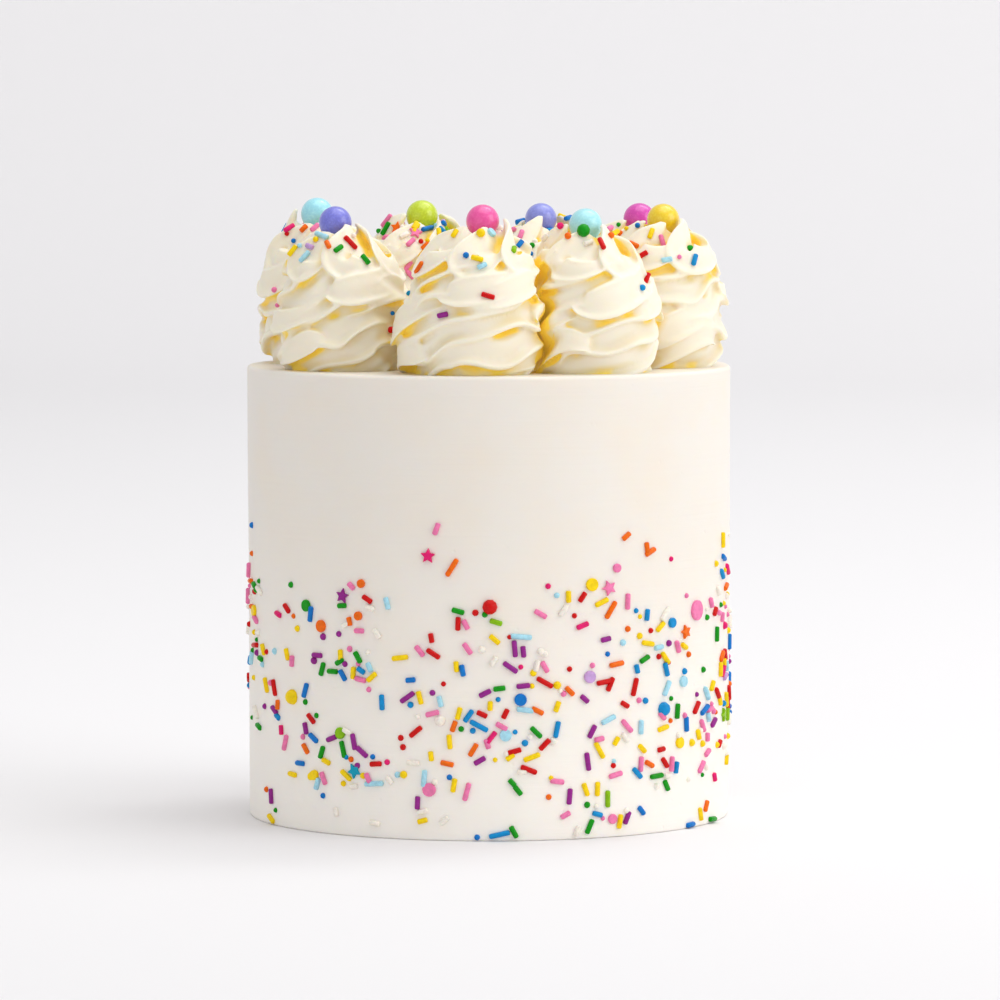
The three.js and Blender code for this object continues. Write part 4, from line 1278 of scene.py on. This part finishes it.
def scatter_tree():
    """Geometry Nodes: puts a shape on every point, with the point's own turn and scale."""
    tree = bpy.data.node_groups.new("Laid sprinkles", "GeometryNodeTree")
    add_sockets(tree, "INPUT", {"Geometry": "Geometry", "Shape": "Object", "Finish": "Material"})
    add_sockets(tree, "OUTPUT", {"Geometry": "Geometry"})
    given = add_node(tree, "NodeGroupInput").outputs
    shape = add_node(tree, "GeometryNodeObjectInfo", {"Object": given["Shape"]})
    sockets = {"Points": given["Geometry"], "Instance": shape.outputs["Geometry"]}
    for name, socket in (("turned", "Rotation"), ("scale", "Scale")):
        read = add_node(tree, "GeometryNodeInputNamedAttribute", {"Name": name}, data_type="FLOAT_VECTOR")
        sockets[socket] = read.outputs["Attribute"]
    spread = add_node(tree, "GeometryNodeInstanceOnPoints", sockets)
    real = add_node(tree, "GeometryNodeRealizeInstances", {"Geometry": spread.outputs["Instances"]})
    sockets = {"Geometry": real.outputs["Geometry"], "Material": given["Finish"]}
    finish = add_node(tree, "GeometryNodeSetMaterial", sockets)
    add_node(tree, "NodeGroupOutput", {"Geometry": finish.outputs["Geometry"]})
    return tree


def linear(tint):
    """A colour's linear values from its usual 0 to 255 ones."""
    return [((c / 255 + 0.055) / 1.055) ** 2.4 if c > 10 else c / 255 / 12.92 for c in tint]


def sugar_paste():
    """Smooth pressed sugar in each piece's own colour, a little waxy, with faint uneven dye."""
    material, tree, shader = new_material("sugar paste", {
        "Roughness": 0.42, "Specular IOR Level": 0.2, "Coat Weight": 0.06, "Coat Roughness": 0.2,
        "Subsurface Weight": 0.1, "Subsurface Scale": 0.8 * MM,
    })
    grain, cloud = sugar_grain(tree, 0.5 * MM, 1.3 * MM)
    tint = add_node(tree, "ShaderNodeAttribute", attribute_name="tint").outputs["Color"]
    dye = {"Vector": tint, "Scale": remapped(tree, cloud, 0.3, 0.7, 0.88, 1.08)}
    feed(tree, shader, {
        "Base Color": add_node(tree, "ShaderNodeVectorMath", dye, operation="SCALE").outputs["Vector"],
        "Normal": bumped(tree, grain, 0.25, 0.05 * MM),
    })
    return material


def laid_piece(name, pieces, shape, tree, finish):
    """All the pieces of one kind as one mesh."""
    mesh = bpy.data.meshes.new(name)
    mesh.from_pydata([piece["place"] for piece in pieces], [], [])
    tints = [(*linear(SUGAR_TINTS[piece["tint"]]), 1) for piece in pieces]
    mesh.attributes.new("tint", "FLOAT_COLOR", "POINT").data.foreach_set("color", np.ravel(tints))
    for key in ("turned", "scale"):
        values = np.ravel([piece[key] for piece in pieces])
        mesh.attributes.new(key, "FLOAT_VECTOR", "POINT").data.foreach_set("vector", values)
    spread = new_object(name, mesh)
    modifier = spread.modifiers.new("laid", "NODES")
    modifier.node_group = tree
    sockets = {item.name: item.identifier for item in tree.interface.items_tree if item.in_out == "INPUT"}
    modifier[sockets["Shape"]] = shape
    modifier[sockets["Finish"]] = finish
    bake(spread)
    return spread


draw_tint = random_from(TINT_SEED)
sprinkles = sprinkles_on_side(draw_tint) + sprinkles_on_top(draw_tint)
sprinkles += sprinkles_on_swirls(skin_trees(), draw_tint)
heart_reach = sum(wave * np.cos(k * round_angles(HEART_CORNERS)) for k, wave in enumerate(HEART_WAVES))
shapes = {
    "rod": unit_rod(),
    "ball": unit_ball(),
    "disc": unit_flat("unit_disc", np.full(DISC_CORNERS, DISC_REACH)),
    "star": unit_flat("unit_star", np.tile(STAR_REACH, STAR_POINTS)),
    "heart": unit_flat("unit_heart", heart_reach),
}
SUGAR_PASTE = sugar_paste()
LAID = scatter_tree()
for kind, shape in shapes.items():
    of_kind = [piece for piece in sprinkles if piece["kind"] == kind]
    spread = laid_piece(f"sprinkle_{kind}s", of_kind, shape, LAID, SUGAR_PASTE)
    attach(spread, "root")
for shape in shapes.values():
    bpy.data.objects.remove(shape)


# ==== The studio ============================================================================================
# A wide round floor of pale paper whose rim curves up into a backdrop all round, soft light from the right
# and above, and the camera. Its sizes are in metres.
CAMERA_PITCH = 0.07119792  # radians below the horizon
FOCAL_PIXELS = 6268
PICTURE_SIZE = 1000
SENSOR_WIDTH = 36  # millimetres
SIGHT_END = 10
FLOOR_COLOUR = (0.845, 0.835, 0.845)
FLOOR_RADIUS = 2.7
SWEEP_RADIUS = 0.8
SWEEP_STEPS = 12
BACKDROP_HEIGHT = 1.4
BACKDROP_SEGMENTS = 128
AIR_STRENGTH = 0.635
# The soft square lights: place, the point they face, size, power and colour.
LIGHTS = {
    "window": ((1.5, -0.7, 0.8), (0, 0, 0.1), 1.2, 10, (1.0, 0.99, 0.98)),
    "fill": ((-1.0, -1.8, 0.4), (0, 0, 0.05), 1.4, 3.4, (0.97, 0.98, 1.0)),
    "top": ((0.2, -0.1, 1.4), (0, 0, 0.15), 1.2, 7, (1, 1, 1)),
    "backdrop": ((1.2, 1.2, 2.6), (0.6, 3.4, 0.6), 1.8, 37, (1, 1, 1)),
}


def studio_floor():
    """A round floor that sweeps up far outside the cake, seen alike from every side."""
    turn = np.linspace(0, math.pi / 2, SWEEP_STEPS + 1)
    reach = FLOOR_RADIUS + SWEEP_RADIUS * np.append(np.sin(turn), 1)
    height = np.append(SWEEP_RADIUS * (1 - np.cos(turn)), BACKDROP_HEIGHT)
    rows = round_rows(reach[:, None], round_angles(BACKDROP_SEGMENTS), height[:, None])
    faces = [face[::-1] for face in grid_faces(len(rows), BACKDROP_SEGMENTS)]
    floor = plain_mesh("studio_floor", rows.reshape(-1, 3) / MM, [tuple(range(BACKDROP_SEGMENTS)), *faces])
    paper = {"Base Color": (*FLOOR_COLOUR, 1), "Roughness": 0.8, "Specular IOR Level": 0.1}
    floor.data.materials.append(new_material("pale paper", paper)[0])
    return floor


def area_light(name, place, target, size, power, colour):
    """A soft square light that faces a point."""
    light = bpy.data.lights.new(name, "AREA")
    light.shape = "SQUARE"
    light.size = size
    light.energy = power
    light.color = colour
    holder = new_object(name, light)
    holder.location = place
    holder.rotation_euler = (Vector(target) - Vector(place)).to_track_quat("-Z", "Y").to_euler()


studio_floor()
for name, terms in LIGHTS.items():
    area_light(name, *terms)

world = bpy.data.worlds.new("studio air")
world.use_nodes = True
air = world.node_tree.nodes["Background"]
feed(world.node_tree, air, {"Color": (1, 1, 1, 1), "Strength": AIR_STRENGTH})
bpy.context.scene.world = world
bpy.context.scene.view_settings.view_transform = "Standard"

camera = new_object("camera", bpy.data.cameras.new("camera"))
camera.location = FRONT_EYE
camera.rotation_euler = (math.pi / 2 - CAMERA_PITCH, 0, 0)
camera.data.sensor_width = SENSOR_WIDTH
camera.data.lens = FOCAL_PIXELS * SENSOR_WIDTH / PICTURE_SIZE
camera.data.clip_end = SIGHT_END
bpy.context.scene.camera = camera
